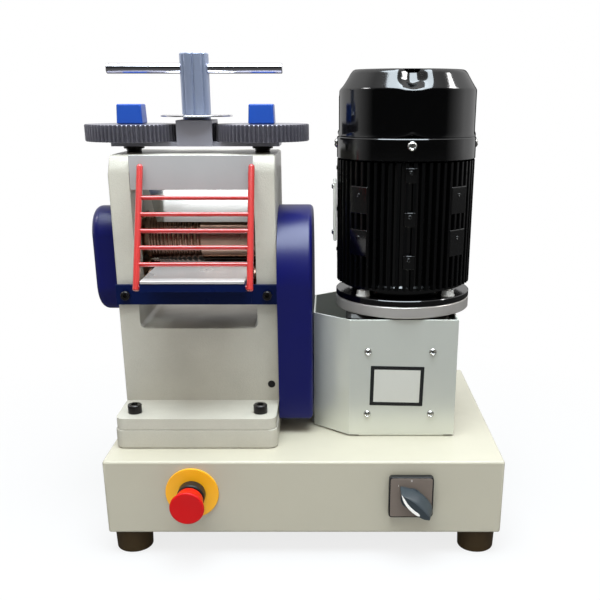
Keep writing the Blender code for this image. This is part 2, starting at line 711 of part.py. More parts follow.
def build_frame():
    """Pedestal, the cast frame with its roll window, its bolts and the crown plate.

    An ear on the frame's right side closes the back of the drive cover, which
    slides over it once the main gear is on its shaft.
    """
    half = PEDESTAL_W / 2
    pedestal = prism("pedestal", rounded((-half, 0), (half, FLANGE_D), PEDESTAL_CORNER),
                     PEDESTAL_BOTTOM, PEDESTAL_TOP, at=(MILL_X, FLANGE_FRONT, 0), material=PAINT)
    thread_end = PEDESTAL_TOP - BOLT_GRIP
    cut(pedestal, *[rod(f"thread_{name}", BOLT_R + GAP, thread_end - GAP, FLANGE_TOP,
                        at=(x, y, 0), sides=SMALL) for name, x, y in bolt_places()])

    back = FRAME_FRONT + FRAME_D
    side_view = ((FRAME_FRONT, FLANGE_BOTTOM), (back, FLANGE_BOTTOM), (back, FRAME_TOP),
                 (FRAME_FRONT + CROWN_SLOPE_D, FRAME_TOP),
                 (FRAME_FRONT, FRAME_TOP - CROWN_SLOPE_H))
    frame = soften(prism("mill_frame", side_view, -FRAME_W / 2, FRAME_W / 2, "YZ",
                         (MILL_X, 0, 0), PAINT), FRAME_EDGE)
    half = FLANGE_W / 2
    flange = prism("flange", rounded((-half, 0), (half, FLANGE_D), FLANGE_CORNER),
                   FLANGE_BOTTOM, FLANGE_TOP, at=(MILL_X, FLANGE_FRONT, 0))
    ear_x = FRAME_W / 2 + GAP
    ear = prism("ear", drive_outline(RIGHT_COVER_R - COVER_WALL - GAP, FLANGE_BOTTOM),
                ear_x, ear_x + COVER_WALL, "YZ", (MILL_X, 0, 0))
    root = prism("root", drive_outline(FRAME_D / 2 - FRAME_EDGE, FLANGE_TOP),
                 ear_x - OVERRUN, ear_x + COVER_WALL / 2, "YZ", (MILL_X, 0, 0))
    join(frame, flange, root, ear)
    half = WINDOW_W / 2
    window = prism("window", rounded((-half, WINDOW_FLOOR), (half, WINDOW_TOP), WINDOW_CORNER),
                   FRAME_FRONT - OVERRUN, back + OVERRUN, "XZ", (MILL_X, 0, 0))
    slot_half = CHOCK_D / 2 + GAP
    slot = box("slot", (FRAME_LEFT - OVERRUN, ROLL_Y - slot_half, SLOT_BOTTOM),
               (FRAME_RIGHT + OVERRUN, ROLL_Y + slot_half, SLOT_TOP))
    recess = box("recess", (MILL_X - half, FRAME_FRONT - OVERRUN, WINDOW_TOP - OVERRUN),
                 (MILL_X + half, FRAME_FRONT + CROWN_RECESS, FRAME_TOP + OVERRUN))
    bores = []
    for side, sign in (("left", -1), ("right", 1)):
        at = (MILL_X + sign * SCREW_DX, ROLL_Y, 0)
        bores.append(rod(f"tip_bore_{side}", SCREW_TIP_R + GAP, SLOT_TOP - OVERRUN,
                         FRAME_TOP - GAP, at=at))
        bores.append(rod(f"screw_bore_{side}", SCREW_R + GAP, WINDOW_TOP + SCREW_TIP_RISE - GAP,
                         FRAME_TOP + OVERRUN, at=at))
    holes = [rod(f"hole_{name}", BOLT_R + GAP, FLANGE_BOTTOM - OVERRUN, FLANGE_TOP + OVERRUN,
                 at=(x, y, 0), sides=SMALL) for name, x, y in bolt_places()]
    cut(frame, window, slot, recess, *bores, *holes)

    seat = FLANGE_TOP + GAP
    head_top = seat + BOLT_HEAD_H
    profile = ((0, thread_end), (BOLT_R, thread_end), (BOLT_R, seat), (BOLT_HEAD_R, seat),
               (BOLT_HEAD_R, head_top), (BOLT_SOCKET_R, head_top),
               (BOLT_SOCKET_R, head_top - BOLT_SOCKET_DEPTH), (0, head_top - BOLT_SOCKET_DEPTH))
    for name, x, y in bolt_places():
        turned(name, profile, at=(x, y, 0), material=BLACK_STEEL, sides=SMALL)

    plate_back = FRAME_FRONT + CROWN_RECESS - GAP
    inner = half - GAP
    box("crown_plate", (MILL_X - inner, plate_back - CROWN_PLATE_T, WINDOW_TOP),
        (MILL_X + inner, plate_back, FRAME_TOP), PLATE_GREY)


def groove_profile(start):
    """Return the wire grooves of a roll, finest first, as radius and place points."""
    points = []
    place_x = start
    width = GROOVE_FIRST
    for _ in range(GROOVES):
        points.append((ROLL_R, place_x))
        points.append((ROLL_R - width * GROOVE_DEPTH_SHARE, place_x + width / 2))
        place_x += width
        width *= GROOVE_GROWTH_SHARE
    points.append((ROLL_R, place_x))
    return points


def roll(name, height, left, right, gears):
    """Make one roll with its necks and the seats for the gears it carries."""
    half = ROLL_L / 2
    column_out = FRAME_W / 2 + NECK_OVER
    profile = [(0, left)]
    if "left" in gears:
        profile += [(GEAR_SEAT_R, left), (GEAR_SEAT_R, -column_out)]
        profile += [(NECK_R, -column_out)]
    else:
        profile += [(NECK_R, left)]
    profile += [(NECK_R, -half), (ROLL_R, -half)]
    profile += groove_profile(-half + GROOVE_START)
    profile += [(ROLL_R, half), (NECK_R, half)]
    if "right" in gears:
        profile += [(NECK_R, column_out), (GEAR_SEAT_R, column_out), (GEAR_SEAT_R, right)]
    else:
        profile += [(NECK_R, right)]
    profile += [(0, right)]
    return turned(name, profile, "X", (MILL_X, ROLL_Y, height), ROLL_STEEL, COARSE)


def build_rolls():
    """Both rolls, their four bearing blocks and the lift springs between the blocks."""
    left_end = ROLL_GEAR_X - NECK_OVER - MILL_X
    right_end = MAIN_GEAR_X + MAIN_GEAR_W + NECK_OVER - MILL_X
    roll("lower_roll", LOWER_Z, left_end, right_end, ("left", "right"))
    roll("upper_roll", UPPER_Z, left_end, FRAME_W / 2, ("left",))

    half_w = COLUMN_W / 2 - GAP
    half_d = CHOCK_D / 2
    half_h = CHOCK_H / 2
    for side, sign in (("left", -1), ("right", 1)):
        x = MILL_X + sign * COLUMN_DX
        for level, z in (("lower", LOWER_Z), ("upper", UPPER_Z)):
            block = box(f"{level}_bearing_block_{side}", (-half_w, -half_d, -half_h),
                        (half_w, half_d, half_h), BRONZE)
            block.location = (x, ROLL_Y, z)
            bore = rod("bore", NECK_R + GAP, -COLUMN_W, COLUMN_W, "X", (x, ROLL_Y, z))
            cut(block, bore)
        spring(f"lift_spring_{side}", x)


def spring(name, x):
    """Make one coil spring that stands between a lower and an upper bearing block."""
    low = LOWER_Z + CHOCK_H / 2 + GAP + SPRING_WIRE_R
    high = UPPER_Z - CHOCK_H / 2 - GAP - SPRING_WIRE_R
    count = SPRING_TURNS * SPRING_TURN_POINTS
    curve = bpy.data.curves.new(name, "CURVE")
    curve.dimensions = "3D"
    curve.bevel_depth = SPRING_WIRE_R
    curve.bevel_resolution = 1
    curve.use_fill_caps = True
    line = curve.splines.new("POLY")
    line.points.add(count)
    for k, spot in enumerate(line.points):
        angle = math.tau * k / SPRING_TURN_POINTS
        spot.co = (SPRING_R * math.cos(angle), SPRING_R * math.sin(angle),
                   low + (high - low) * k / count, 1)
    curve.materials.append(BRIGHT_STEEL)
    coil = bpy.data.objects.new(name, curve)
    bpy.context.collection.objects.link(coil)
    coil.parent = datum
    coil.location = (x, ROLL_Y, 0)


def build_feed():
    """Blue crossbar with its shelf, the feed table, the stripper plate and the guard."""
    bar_back = FRAME_FRONT - GAP
    bar_front = bar_back - BAR_T
    bar = box("guard_crossbar", (FRAME_LEFT, bar_front, BAR_BOTTOM),
              (FRAME_RIGHT, bar_back, BAR_BOTTOM + BAR_H), BLUE_PAINT)
    half = SHELF_W / 2
    riser_front = bar_front - GAP
    shelf_view = ((SHELF_FRONT, SHELF_TOP - SHELF_T), (riser_front, SHELF_TOP - SHELF_T),
                  (riser_front, BAR_BOTTOM + GAP), (bar_back - GAP, BAR_BOTTOM + GAP),
                  (bar_back - GAP, SHELF_TOP), (SHELF_FRONT, SHELF_TOP))
    shelf = prism("shelf", shelf_view, -half, half, "YZ", (FEED_X, 0, 0))
    pivot_y = SHELF_FRONT + GUARD_PIVOT_IN
    pivot_z = SHELF_TOP - SHELF_T / 2
    pivot = (FEED_X, pivot_y, pivot_z)
    rail_x = RAIL_SPACING / 2
    stub_in = half - GUARD_STUB_L
    sockets = [rod("socket_left", GUARD_STUB_R + GAP, -half - OVERRUN, -stub_in + GAP, "X",
                   pivot, sides=SMALL),
               rod("socket_right", GUARD_STUB_R + GAP, stub_in - GAP, half + OVERRUN, "X",
                   pivot, sides=SMALL)]
    cut(join(bar, shelf), *sockets)

    half = TABLE_W / 2
    chord = math.sqrt(ROLL_R ** 2 - (TABLE_BOTTOM - LOWER_Z) ** 2)
    table_back = ROLL_Y - chord - TABLE_RUN
    box("feed_table", (FEED_X - half, SHELF_FRONT - TABLE_NOSE, TABLE_BOTTOM),
        (FEED_X + half, table_back, TABLE_TOP), BRIGHT_STEEL)

    top = WINDOW_TOP - GAP
    front = FRAME_FRONT + STRIPPER_FRONT
    low_y = front + STRIPPER_RUN
    low_z = top - STRIPPER_DROP
    slant = math.atan2(STRIPPER_DROP, STRIPPER_RUN)
    skew = STRIPPER_T / math.sin(slant)
    side_view = ((front, top), (low_y, low_z), (low_y + skew, low_z),
                 (front + skew + STRIPPER_T / math.tan(slant), top - STRIPPER_T),
                 (front + STRIPPER_LIP, top - STRIPPER_T), (front + STRIPPER_LIP, top))
    prism("stripper_plate", side_view, MILL_X - WINDOW_W / 2 + STRIPPER_INSET,
          MILL_X + WINDOW_W / 2 - WINDOW_CORNER - GAP, "YZ", material=BRIGHT_STEEL)

    lean = math.asin((FRAME_FRONT - GUARD_TOP_RUN - pivot_y) / RAIL_L)
    rails = []
    for sign in (-1, 1):
        dome = [(RAIL_R * math.cos(math.pi / 2 * k / ARC_STEPS),
                 RAIL_L + RAIL_R * math.sin(math.pi / 2 * k / ARC_STEPS))
                for k in range(ARC_STEPS)]
        profile = [(0, -RAIL_R), (RAIL_R, -RAIL_R)] + dome + [(0, RAIL_L + RAIL_R)]
        rails.append(turned("guard" if sign < 0 else "rail_right", profile,
                            at=pivot, material=RED_PAINT, sides=SMALL))
        for vert in rails[-1].data.vertices:
            vert.co.x += sign * rail_x
    guard = rails[0]
    bars = []
    for k in range(GUARD_BARS):
        bar = rod(f"bar_{k}", GUARD_BAR_R, -rail_x, rail_x, "X", pivot, sides=THIN)
        for vert in bar.data.vertices:
            vert.co.z += GUARD_FIRST_BAR + k * GUARD_BAR_PITCH
        bars.append(bar)
    stubs = [rod("stub_left", GUARD_STUB_R, -rail_x, -stub_in, "X", pivot, sides=THIN),
             rod("stub_right", GUARD_STUB_R, stub_in, rail_x, "X", pivot, sides=THIN)]
    for piece in [guard, rails[1], *bars, *stubs]:
        piece.rotation_euler = (-lean, 0, 0)
    join(guard, rails[1], *bars, *stubs)


def build_head():
    """Pressure screws, their gears and caps, the bridge, the pinion block and the handle."""
    tip_z = UPPER_Z + CHOCK_H / 2 + GAP
    collar_bottom = BRIDGE_BOTTOM - GAP - SCREW_COLLAR_H
    spigot_top = GEAR_TOP + SCREW_SPIGOT_L
    tip_top = WINDOW_TOP + SCREW_TIP_RISE
    screw_profile = ((0, tip_z), (SCREW_TIP_R, tip_z), (SCREW_TIP_R, tip_top),
                     (SCREW_R, tip_top), (SCREW_R, collar_bottom),
                     (SCREW_COLLAR_R, collar_bottom), (SCREW_COLLAR_R, BRIDGE_BOTTOM - GAP),
                     (SCREW_R, BRIDGE_BOTTOM - GAP), (SCREW_R, BRIDGE_TOP),
                     (SCREW_SPIGOT_R, BRIDGE_TOP), (SCREW_SPIGOT_R, spigot_top), (0, spigot_top))
    bridge_half = (BRIDGE_W / 2, BRIDGE_D / 2)
    bridge = box("bridge_plate", (MILL_X - bridge_half[0], ROLL_Y - bridge_half[1],
                                  BRIDGE_BOTTOM),
                 (MILL_X + bridge_half[0], ROLL_Y + bridge_half[1], BRIDGE_TOP), BLOCK_STEEL)
    bridge_holes = [rod("spindle_hole", SPINDLE_FOOT_R + GAP, BRIDGE_BOTTOM - OVERRUN,
                        BRIDGE_TOP + OVERRUN, at=(MILL_X, ROLL_Y, 0), sides=COARSE)]
    half_pitch = math.pi / SCREW_TEETH
    cap_half = CAP_SIZE / 2
    for side, sign in (("left", -1), ("right", 1)):
        at = (MILL_X + sign * SCREW_DX, ROLL_Y, 0)
        turned(f"pressure_screw_{side}", screw_profile, at=at, material=BLACK_STEEL)
        gear = prism(f"screw_gear_{side}", gear_outline(SCREW_TEETH, SCREW_MODULE, half_pitch),
                     GEAR_BOTTOM, GEAR_TOP, at=at, material=GEAR_STEEL)
        cut(gear, rod("bore", SCREW_SPIGOT_R + GAP, GEAR_BOTTOM - OVERRUN,
                      GEAR_TOP + OVERRUN, at=at, sides=COARSE))
        cap = soften(prism(f"screw_cap_{side}", square(cap_half), GEAR_TOP + GAP,
                           GEAR_TOP + GAP + CAP_H, at=at, material=CAP_BLUE,
                           top_share=CAP_TOP_SHARE), CAP_EDGE, 1)
        cut(cap, rod("bore", SCREW_SPIGOT_R + GAP, GEAR_TOP - OVERRUN, spigot_top + GAP,
                     at=at, sides=COARSE))
        bridge_holes.append(rod(f"screw_hole_{side}", SCREW_R + GAP, BRIDGE_BOTTOM - OVERRUN,
                                BRIDGE_TOP + OVERRUN, at=at, sides=COARSE))
    cut(bridge, *bridge_holes)

    half = BLOCK_W / 2
    inside = BRIDGE_D / 2 + GAP
    outside = inside + CHEEK_T
    section = ((-outside, BRIDGE_BOTTOM), (-inside, BRIDGE_BOTTOM), (-inside, ROOF_BOTTOM),
               (inside, ROOF_BOTTOM), (inside, BRIDGE_BOTTOM), (outside, BRIDGE_BOTTOM),
               (outside, ROOF_TOP), (-outside, ROOF_TOP))
    at = (MILL_X, ROLL_Y, 0)
    block = prism("pinion_block", section, -half, half, "YZ", at, BLOCK_STEEL)
    cut(block, rod("bore", SPINDLE_SHAFT_R + GAP, ROOF_BOTTOM - OVERRUN, ROOF_TOP + OVERRUN,
                   at=at, sides=COARSE))

    spindle = prism("spindle", gear_outline(SPINDLE_TEETH, SCREW_MODULE, 0),
                    GEAR_BOTTOM, GEAR_TOP, at=at, material=CHROME)
    collar_bottom = DIAL_BOTTOM - GAP - SPINDLE_COLLAR_H
    core = turned("core", ((0, BRIDGE_BOTTOM), (SPINDLE_FOOT_R, BRIDGE_BOTTOM),
                           (SPINDLE_FOOT_R, GEAR_BOTTOM + GAP),
                           (SPINDLE_SHAFT_R, GEAR_BOTTOM + GAP),
                           (SPINDLE_SHAFT_R, collar_bottom), (SPINDLE_COLLAR_R, collar_bottom),
                           (SPINDLE_COLLAR_R, DIAL_BOTTOM - GAP),
                           (SPINDLE_SHAFT_R, DIAL_BOTTOM - GAP),
                           (SPINDLE_SHAFT_R, KNURL_BOTTOM + GAP), (0, KNURL_BOTTOM + GAP)),
                  at=at)
    knurl_points = KNURL_RIDGES * KNURL_STEPS
    knurl = []
    for k in range(knurl_points):
        angle = math.tau * k / knurl_points
        wave = abs(math.sin(KNURL_RIDGES / 2 * angle))
        radius = KNURL_R - KNURL_DEPTH * (1 - wave) ** 2
        knurl.append((radius * math.cos(angle), radius * math.sin(angle)))
    head = prism("head", knurl, KNURL_BOTTOM, KNURL_TOP, at=at)
    tee_z = KNURL_TOP - TEE_BELOW_TOP
    tee_at = (MILL_X, ROLL_Y, tee_z)
    cross = rod("cross", TEE_R + GAP, -KNURL_R * 2, KNURL_R * 2, "X", tee_at, sides=COARSE)
    cut(join(spindle, core, head), cross)

    dial = ((SPINDLE_SHAFT_R + GAP, DIAL_BOTTOM), (DIAL_R, DIAL_BOTTOM), (DIAL_R, DIAL_TOP),
            (SPINDLE_SHAFT_R + GAP, DIAL_TOP))
    turned("dial_disc", dial, at=at, material=BRIGHT_STEEL, sides=FINE)
    tee_half = TEE_L / 2
    tee = ((0, -tee_half), (TEE_R - TEE_EDGE, -tee_half), (TEE_R, -tee_half + TEE_EDGE),
           (TEE_R, tee_half - TEE_EDGE), (TEE_R - TEE_EDGE, tee_half), (0, tee_half))
    turned("tee_bar", tee, "X", tee_at, CHROME, SMALL)


def bored_gear(name, teeth, module, phase, width, at, bore_r):
    """Make a spur gear on an axis along X, with its left face at the place given."""
    gear = prism(name, gear_outline(teeth, module, phase), 0, width, "YZ", at, GEAR_STEEL)
    return cut(gear, rod("bore", bore_r + GAP, -OVERRUN, width + OVERRUN, "X", at,
                         sides=COARSE))


def build_roll_gears():
    """The two gears that turn the rolls together, and the left cover over them."""
    bored_gear("lower_roll_gear", ROLL_TEETH, ROLL_MODULE, math.pi / 2, ROLL_GEAR_W,
               (ROLL_GEAR_X, ROLL_Y, LOWER_Z), GEAR_SEAT_R)
    bored_gear("upper_roll_gear", ROLL_TEETH, ROLL_MODULE, -math.pi / 2 + math.pi / ROLL_TEETH,
               ROLL_GEAR_W, (ROLL_GEAR_X, ROLL_Y, UPPER_Z), GEAR_SEAT_R)

    inner_r = ROLL_GEAR_TIP_R + LEFT_COVER_RUN
    lower = (ROLL_Y, LOWER_Z)
    upper = (ROLL_Y, UPPER_Z + ROLL_LIFT)

    def stadium(radius):
        return (arc(upper, radius, 0, math.pi, ARC_STEPS * 3)
                + arc(lower, radius, math.pi, math.tau, ARC_STEPS * 3))

    right = FRAME_LEFT - GAP
    cover = domed_block("left_cover", stadium, inner_r + COVER_WALL, LEFT_COVER_OUT, right,
                        COVER_EDGE, NAVY_PAINT)
    hollow = domed_block("hollow", stadium, inner_r, LEFT_COVER_OUT + COVER_WALL,
                         right + OVERRUN, COVER_EDGE - COVER_WALL)
    cut(cover, hollow)


def domed_block(name, outline_of, radius, outer_x, inner_x, edge, material=None):
    """Make a block along X whose outer face is drawn in by a round edge."""
    mesh = bmesh.new()
    turn = PLANES["YZ"]
    rings = []
    sign = 1 if inner_x > outer_x else -1
    steps = ARC_STEPS - 1
    for k in range(steps + 1):
        angle = math.pi / 2 * k / steps
        inset = edge * (1 - math.sin(angle))
        level = outer_x + sign * edge * (1 - math.cos(angle))
        rings.append([mesh.verts.new(turn @ Vector((u, v, level)))
                      for u, v in outline_of(radius - inset)])
    rings.append([mesh.verts.new(turn @ Vector((u, v, inner_x))) for u, v in outline_of(radius)])
    count = len(rings[0])
    mesh.faces.new(rings[0])
    mesh.faces.new(rings[-1])
    for first, second in zip(rings, rings[1:]):
        for k in range(count):
            after = (k + 1) % count
            mesh.faces.new((first[k], first[after], second[after], second[k]))
    return place(name, mesh, (0, 0, 0), material)


def build_drive():
    """Main gear, drive pinion, output shaft with the worm wheel, and the right cover."""
    roll_at = (MAIN_GEAR_X, ROLL_Y, LOWER_Z)
    shaft_at = (MAIN_GEAR_X, SHAFT_Y, SHAFT_Z)
    bored_gear("main_gear", MAIN_TEETH, DRIVE_MODULE, DRIVE_ANGLE, MAIN_GEAR_W, roll_at,
               GEAR_SEAT_R)
    bored_gear("drive_pinion", PINION_TEETH, DRIVE_MODULE,
               DRIVE_ANGLE + math.pi + math.pi / PINION_TEETH, MAIN_GEAR_W, shaft_at, SHAFT_R)

    def cover_outline(radius):
        return drive_outline(radius, RIGHT_COVER_BOTTOM + RIGHT_COVER_R - radius)

    left = FRAME_RIGHT + GAP
    cover = domed_block("right_cover", cover_outline, RIGHT_COVER_R, RIGHT_COVER_OUT, left,
                        RIGHT_COVER_EDGE, NAVY_PAINT)
    hollow = domed_block("hollow", cover_outline, RIGHT_COVER_R - COVER_WALL,
                         RIGHT_COVER_OUT - COVER_WALL, left - OVERRUN,
                         RIGHT_COVER_EDGE - COVER_WALL)
    hole = rod("shaft_hole", SHAFT_R + GAP, RIGHT_COVER_OUT - COVER_WALL - OVERRUN,
               RIGHT_COVER_OUT + OVERRUN, "X", (0, SHAFT_Y, SHAFT_Z))
    cut(cover, hollow, hole)

    axis = (0, SHAFT_Y, SHAFT_Z)
    housing_right = housing_middle() + HOUSING_W / 2
    shaft = rod("output_shaft", SHAFT_R, MAIN_GEAR_X - NECK_OVER, housing_right - SHAFT_END,
                "X", axis, BRIGHT_STEEL)
    wheel_module = 2 * WHEEL_R / (WHEEL_TEETH + 2)
    wheel = prism("wheel", gear_outline(WHEEL_TEETH, wheel_module, 0),
                  MOTOR_X - WHEEL_W / 2, MOTOR_X + WHEEL_W / 2, "YZ", axis)
    join(shaft, wheel)


def housing_middle():
    """Return the x of the gearbox housing's middle, centred in the sheet cabinet's room."""
    left = CABINET_LEFT + CABINET_CHAMFER_X - CABINET_WALL
    right = CABINET_RIGHT - CABINET_WALL - END_CAP_T - CABINET_WALL
    return (left + right) / 2


def build_gearbox():
    """Worm gearbox housing with its end cap, and the sheet cabinet round it."""
    middle = housing_middle()
    low_x = middle - HOUSING_W / 2
    high_x = middle + HOUSING_W / 2
    low_y = MOTOR_Y - HOUSING_D / 2
    housing = soften(box("gearbox_housing", (low_x, low_y, BASE_TOP + GAP),
                         (high_x, low_y + HOUSING_D, HOUSING_TOP), CASTING), HOUSING_EDGE, 1)
    axis = (0, SHAFT_Y, SHAFT_Z)
    room_r = WHEEL_R + WHEEL_ROOM
    room_left = MOTOR_X - WHEEL_W / 2 - WHEEL_ROOM
    wheel_room = rod("wheel_room", room_r, room_left, high_x + OVERRUN, "X", axis)
    worm_bottom = SHAFT_Z - WORM_TAIL
    worm_room = rod("worm_room", WORM_R + WORM_ROOM, worm_bottom - WORM_ROOM,
                    HOUSING_TOP + OVERRUN, at=(MOTOR_X, MOTOR_Y, 0))
    bore = rod("shaft_bore", SHAFT_R + GAP, low_x - OVERRUN, room_left + OVERRUN, "X", axis)
    cut(housing, wheel_room, worm_room, bore)

    cap = rod("gearbox_end_cap", END_CAP_R, high_x + GAP, high_x + GAP + END_CAP_T, "X", axis,
              CASTING, COARSE)
    plug = rod("plug", room_r - GAP, high_x - END_CAP_PLUG_L, high_x + END_CAP_T / 2, "X", axis)
    cap_bore = rod("bore", SHAFT_R + GAP, high_x - END_CAP_PLUG_L - OVERRUN,
                   high_x - SHAFT_END + GAP, "X", axis)
    cut(join(cap, plug), cap_bore)

    def plan(inset):
        slant = inset * math.tan(math.pi / 8)
        left, right = CABINET_LEFT + inset, CABINET_RIGHT - inset
        front, back = CABINET_FRONT + inset, CABINET_BACK - inset
        step_x = CABINET_CHAMFER_X - inset + slant
        step_y = CABINET_CHAMFER_Y - inset + slant
        return ((left + step_x, front), (right, front), (right, back), (left + step_x, back),
                (left, back - step_y), (left, front + step_y))

    bottom = BASE_TOP + CABINET_FOOT_GAP
    cabinet = prism("gearbox_cabinet", plan(0), bottom, CABINET_TOP, material=SHEET)
    inside = prism("inside", plan(CABINET_WALL), bottom - OVERRUN, CABINET_TOP + OVERRUN)
    corner_x = CABINET_LEFT + CABINET_CHAMFER_X
    tab_in = CABINET_WALL / 2
    tabs = []
    for end, y_low, y_high in (
            ("front", CABINET_FRONT + tab_in, CABINET_FRONT + CABINET_WALL + CABINET_FOOT_W),
            ("back", CABINET_BACK - CABINET_WALL - CABINET_FOOT_W, CABINET_BACK - tab_in)):
        tabs.append(box(f"tab_{end}", (corner_x + CABINET_FOOT_W, y_low, BASE_TOP + GAP),
                        (CABINET_RIGHT - CABINET_FOOT_W, y_high,
                         BASE_TOP + GAP + CABINET_WALL * 2)))
    hole = rod("shaft_hole", SHAFT_R + GAP, CABINET_LEFT - OVERRUN,
               CABINET_LEFT + CABINET_WALL + OVERRUN, "X", axis)
    cut(cabinet, inside)
    join(cabinet, *tabs)
    cut(cabinet, hole)

    at = (MOTOR_X, MOTOR_Y, 0)
    bore_r = MOTOR_SHAFT_R + GAP
    ring = ((bore_r, ADAPTER_BOTTOM), (ADAPTER_R, ADAPTER_BOTTOM), (ADAPTER_R, ADAPTER_TOP),
            (bore_r, ADAPTER_TOP))
    turned("adapter_plate", ring, at=at, material=CASTING, sides=FINE)


def fin_outline():
    """Return the finned section of the motor body."""
    core_r = MOTOR_R * MOTOR_CORE_SHARE
    outline = []
    for k in range(MOTOR_FINS):
        middle = math.tau * (k + 1 / 2) / MOTOR_FINS
        half = math.pi / MOTOR_FINS * MOTOR_FIN_SHARE
        for radius, angle in ((core_r, -half), (MOTOR_R, -half), (MOTOR_R, half),
                              (core_r, half)):
            outline.append((radius * math.cos(middle + angle), radius * math.sin(middle + angle)))
    return outline


def build_motor():
    """Flange, finned body, rotor with the worm, fan, fan cowl and terminal cover."""
    at = (MOTOR_X, MOTOR_Y, 0)
    bore_r = MOTOR_SHAFT_R + GAP
    plate_top = MOTOR_FLANGE_BOTTOM + FLANGE_PLATE_T
    flange = ((bore_r, MOTOR_FLANGE_BOTTOM), (FLANGE_PLATE_R, MOTOR_FLANGE_BOTTOM),
              (FLANGE_PLATE_R, plate_top), (FLANGE_NECK_R, plate_top),
              (FLANGE_NECK_R, MOTOR_NECK_TOP), (bore_r, MOTOR_NECK_TOP))
    turned("motor_flange", flange, at=at, material=MOTOR_BLACK, sides=FINE)

    band_bottom = MOTOR_BOTTOM + MOTOR_BODY_H
    body = prism("motor_body", fin_outline(), MOTOR_BOTTOM, band_bottom, at=at,
                 material=MOTOR_BLACK)
    band = rod("band", MOTOR_R, band_bottom - OVERRUN, MOTOR_TOP, at=at)
    room = rod("room", MOTOR_BORE_R, MOTOR_BOTTOM - OVERRUN, MOTOR_TOP - MOTOR_ROOF_T, at=at)
    shaft_hole = rod("shaft_hole", bore_r, MOTOR_TOP - MOTOR_ROOF_T - OVERRUN,
                     MOTOR_TOP + OVERRUN, at=at)
    cut(join(body, band), room, shaft_hole)

    worm_bottom = SHAFT_Z - WORM_TAIL
    worm_low = SHAFT_Z - WORM_L / 2
    worm_high = SHAFT_Z + WORM_L / 2
    core_low = MOTOR_BOTTOM + ROTOR_END_RUN
    core_high = MOTOR_TOP - MOTOR_ROOF_T - ROTOR_END_RUN
    fan_bottom = COWL_BOTTOM + FAN_RISE
    fan_top = fan_bottom + FAN_H
    rotor = ((0, worm_bottom), (MOTOR_SHAFT_R, worm_bottom), (MOTOR_SHAFT_R, worm_low),
             (WORM_R, worm_low), (WORM_R, worm_high), (MOTOR_SHAFT_R, worm_high),
             (MOTOR_SHAFT_R, core_low), (ROTOR_R, core_low), (ROTOR_R, core_high),
             (MOTOR_SHAFT_R, core_high), (MOTOR_SHAFT_R, fan_top), (0, fan_top))
    turned("motor_rotor", rotor, at=at, material=BRIGHT_STEEL, sides=COARSE)

    blade_half = FAN_BLADE_T / 2
    hub_turn = math.asin(blade_half / FAN_HUB_R)
    tip_turn = math.asin(blade_half / FAN_R)
    outline = []
    for k in range(FAN_BLADES):
        middle = math.tau * k / FAN_BLADES
        for radius, angle in ((FAN_HUB_R, -hub_turn), (FAN_R, -tip_turn), (FAN_R, tip_turn),
                              (FAN_HUB_R, hub_turn)):
            outline.append((radius * math.cos(middle + angle), radius * math.sin(middle + angle)))
    fan = prism("fan", outline, fan_bottom, fan_top, at=at, material=BLACK_PLASTIC)
    cut(fan, rod("bore", bore_r, fan_bottom - OVERRUN, fan_top + OVERRUN, at=at, sides=COARSE))

    shoulder = COWL_TOP - COWL_CHAMFER_H
    top_r = COWL_R - COWL_CHAMFER_R
    wall = COWL_WALL
    cowl = ((COWL_R, COWL_BOTTOM), (COWL_R, shoulder), (top_r, COWL_TOP),
            (COWL_EYE_R, COWL_TOP), (COWL_EYE_R, COWL_TOP - wall),
            (top_r - wall / 2, COWL_TOP - wall), (COWL_R - wall, shoulder - wall / 2),
            (COWL_R - wall, COWL_BOTTOM))
    turned("fan_cowl", cowl, at=at, material=MOTOR_BLACK, sides=FINE)

    right = MOTOR_X - MOTOR_R - GAP
    low = MOTOR_BOTTOM + TERMINAL_RISE
    soften(box("terminal_cover", (right - TERMINAL_T, MOTOR_Y - TERMINAL_D / 2, low),
               (right, MOTOR_Y + TERMINAL_D / 2, low + TERMINAL_H), MOTOR_BLACK),
           TERMINAL_EDGE, 1)


build_base()
build_estop()
build_switch()
build_frame()
build_rolls()
build_feed()
build_head()
build_roll_gears()
build_drive()
build_gearbox()
build_motor()
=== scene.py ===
"""Looks of an electric jewellers rolling mill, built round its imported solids.

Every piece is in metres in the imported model's own frame: +Z is up, the sheet is
fed in from -Y, and the origin lies on the bench under the middle of the mill.
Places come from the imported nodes. Sizes that only a fine surface needs, such as
edge widths, fins and screw heads, are fields of the class that makes the piece.
"""
import json
import logging
import math
from dataclasses import dataclass
from enum import Enum
from typing import Callable, Optional, Sequence, Union

import bmesh
import bpy
from mathutils import Matrix, Vector


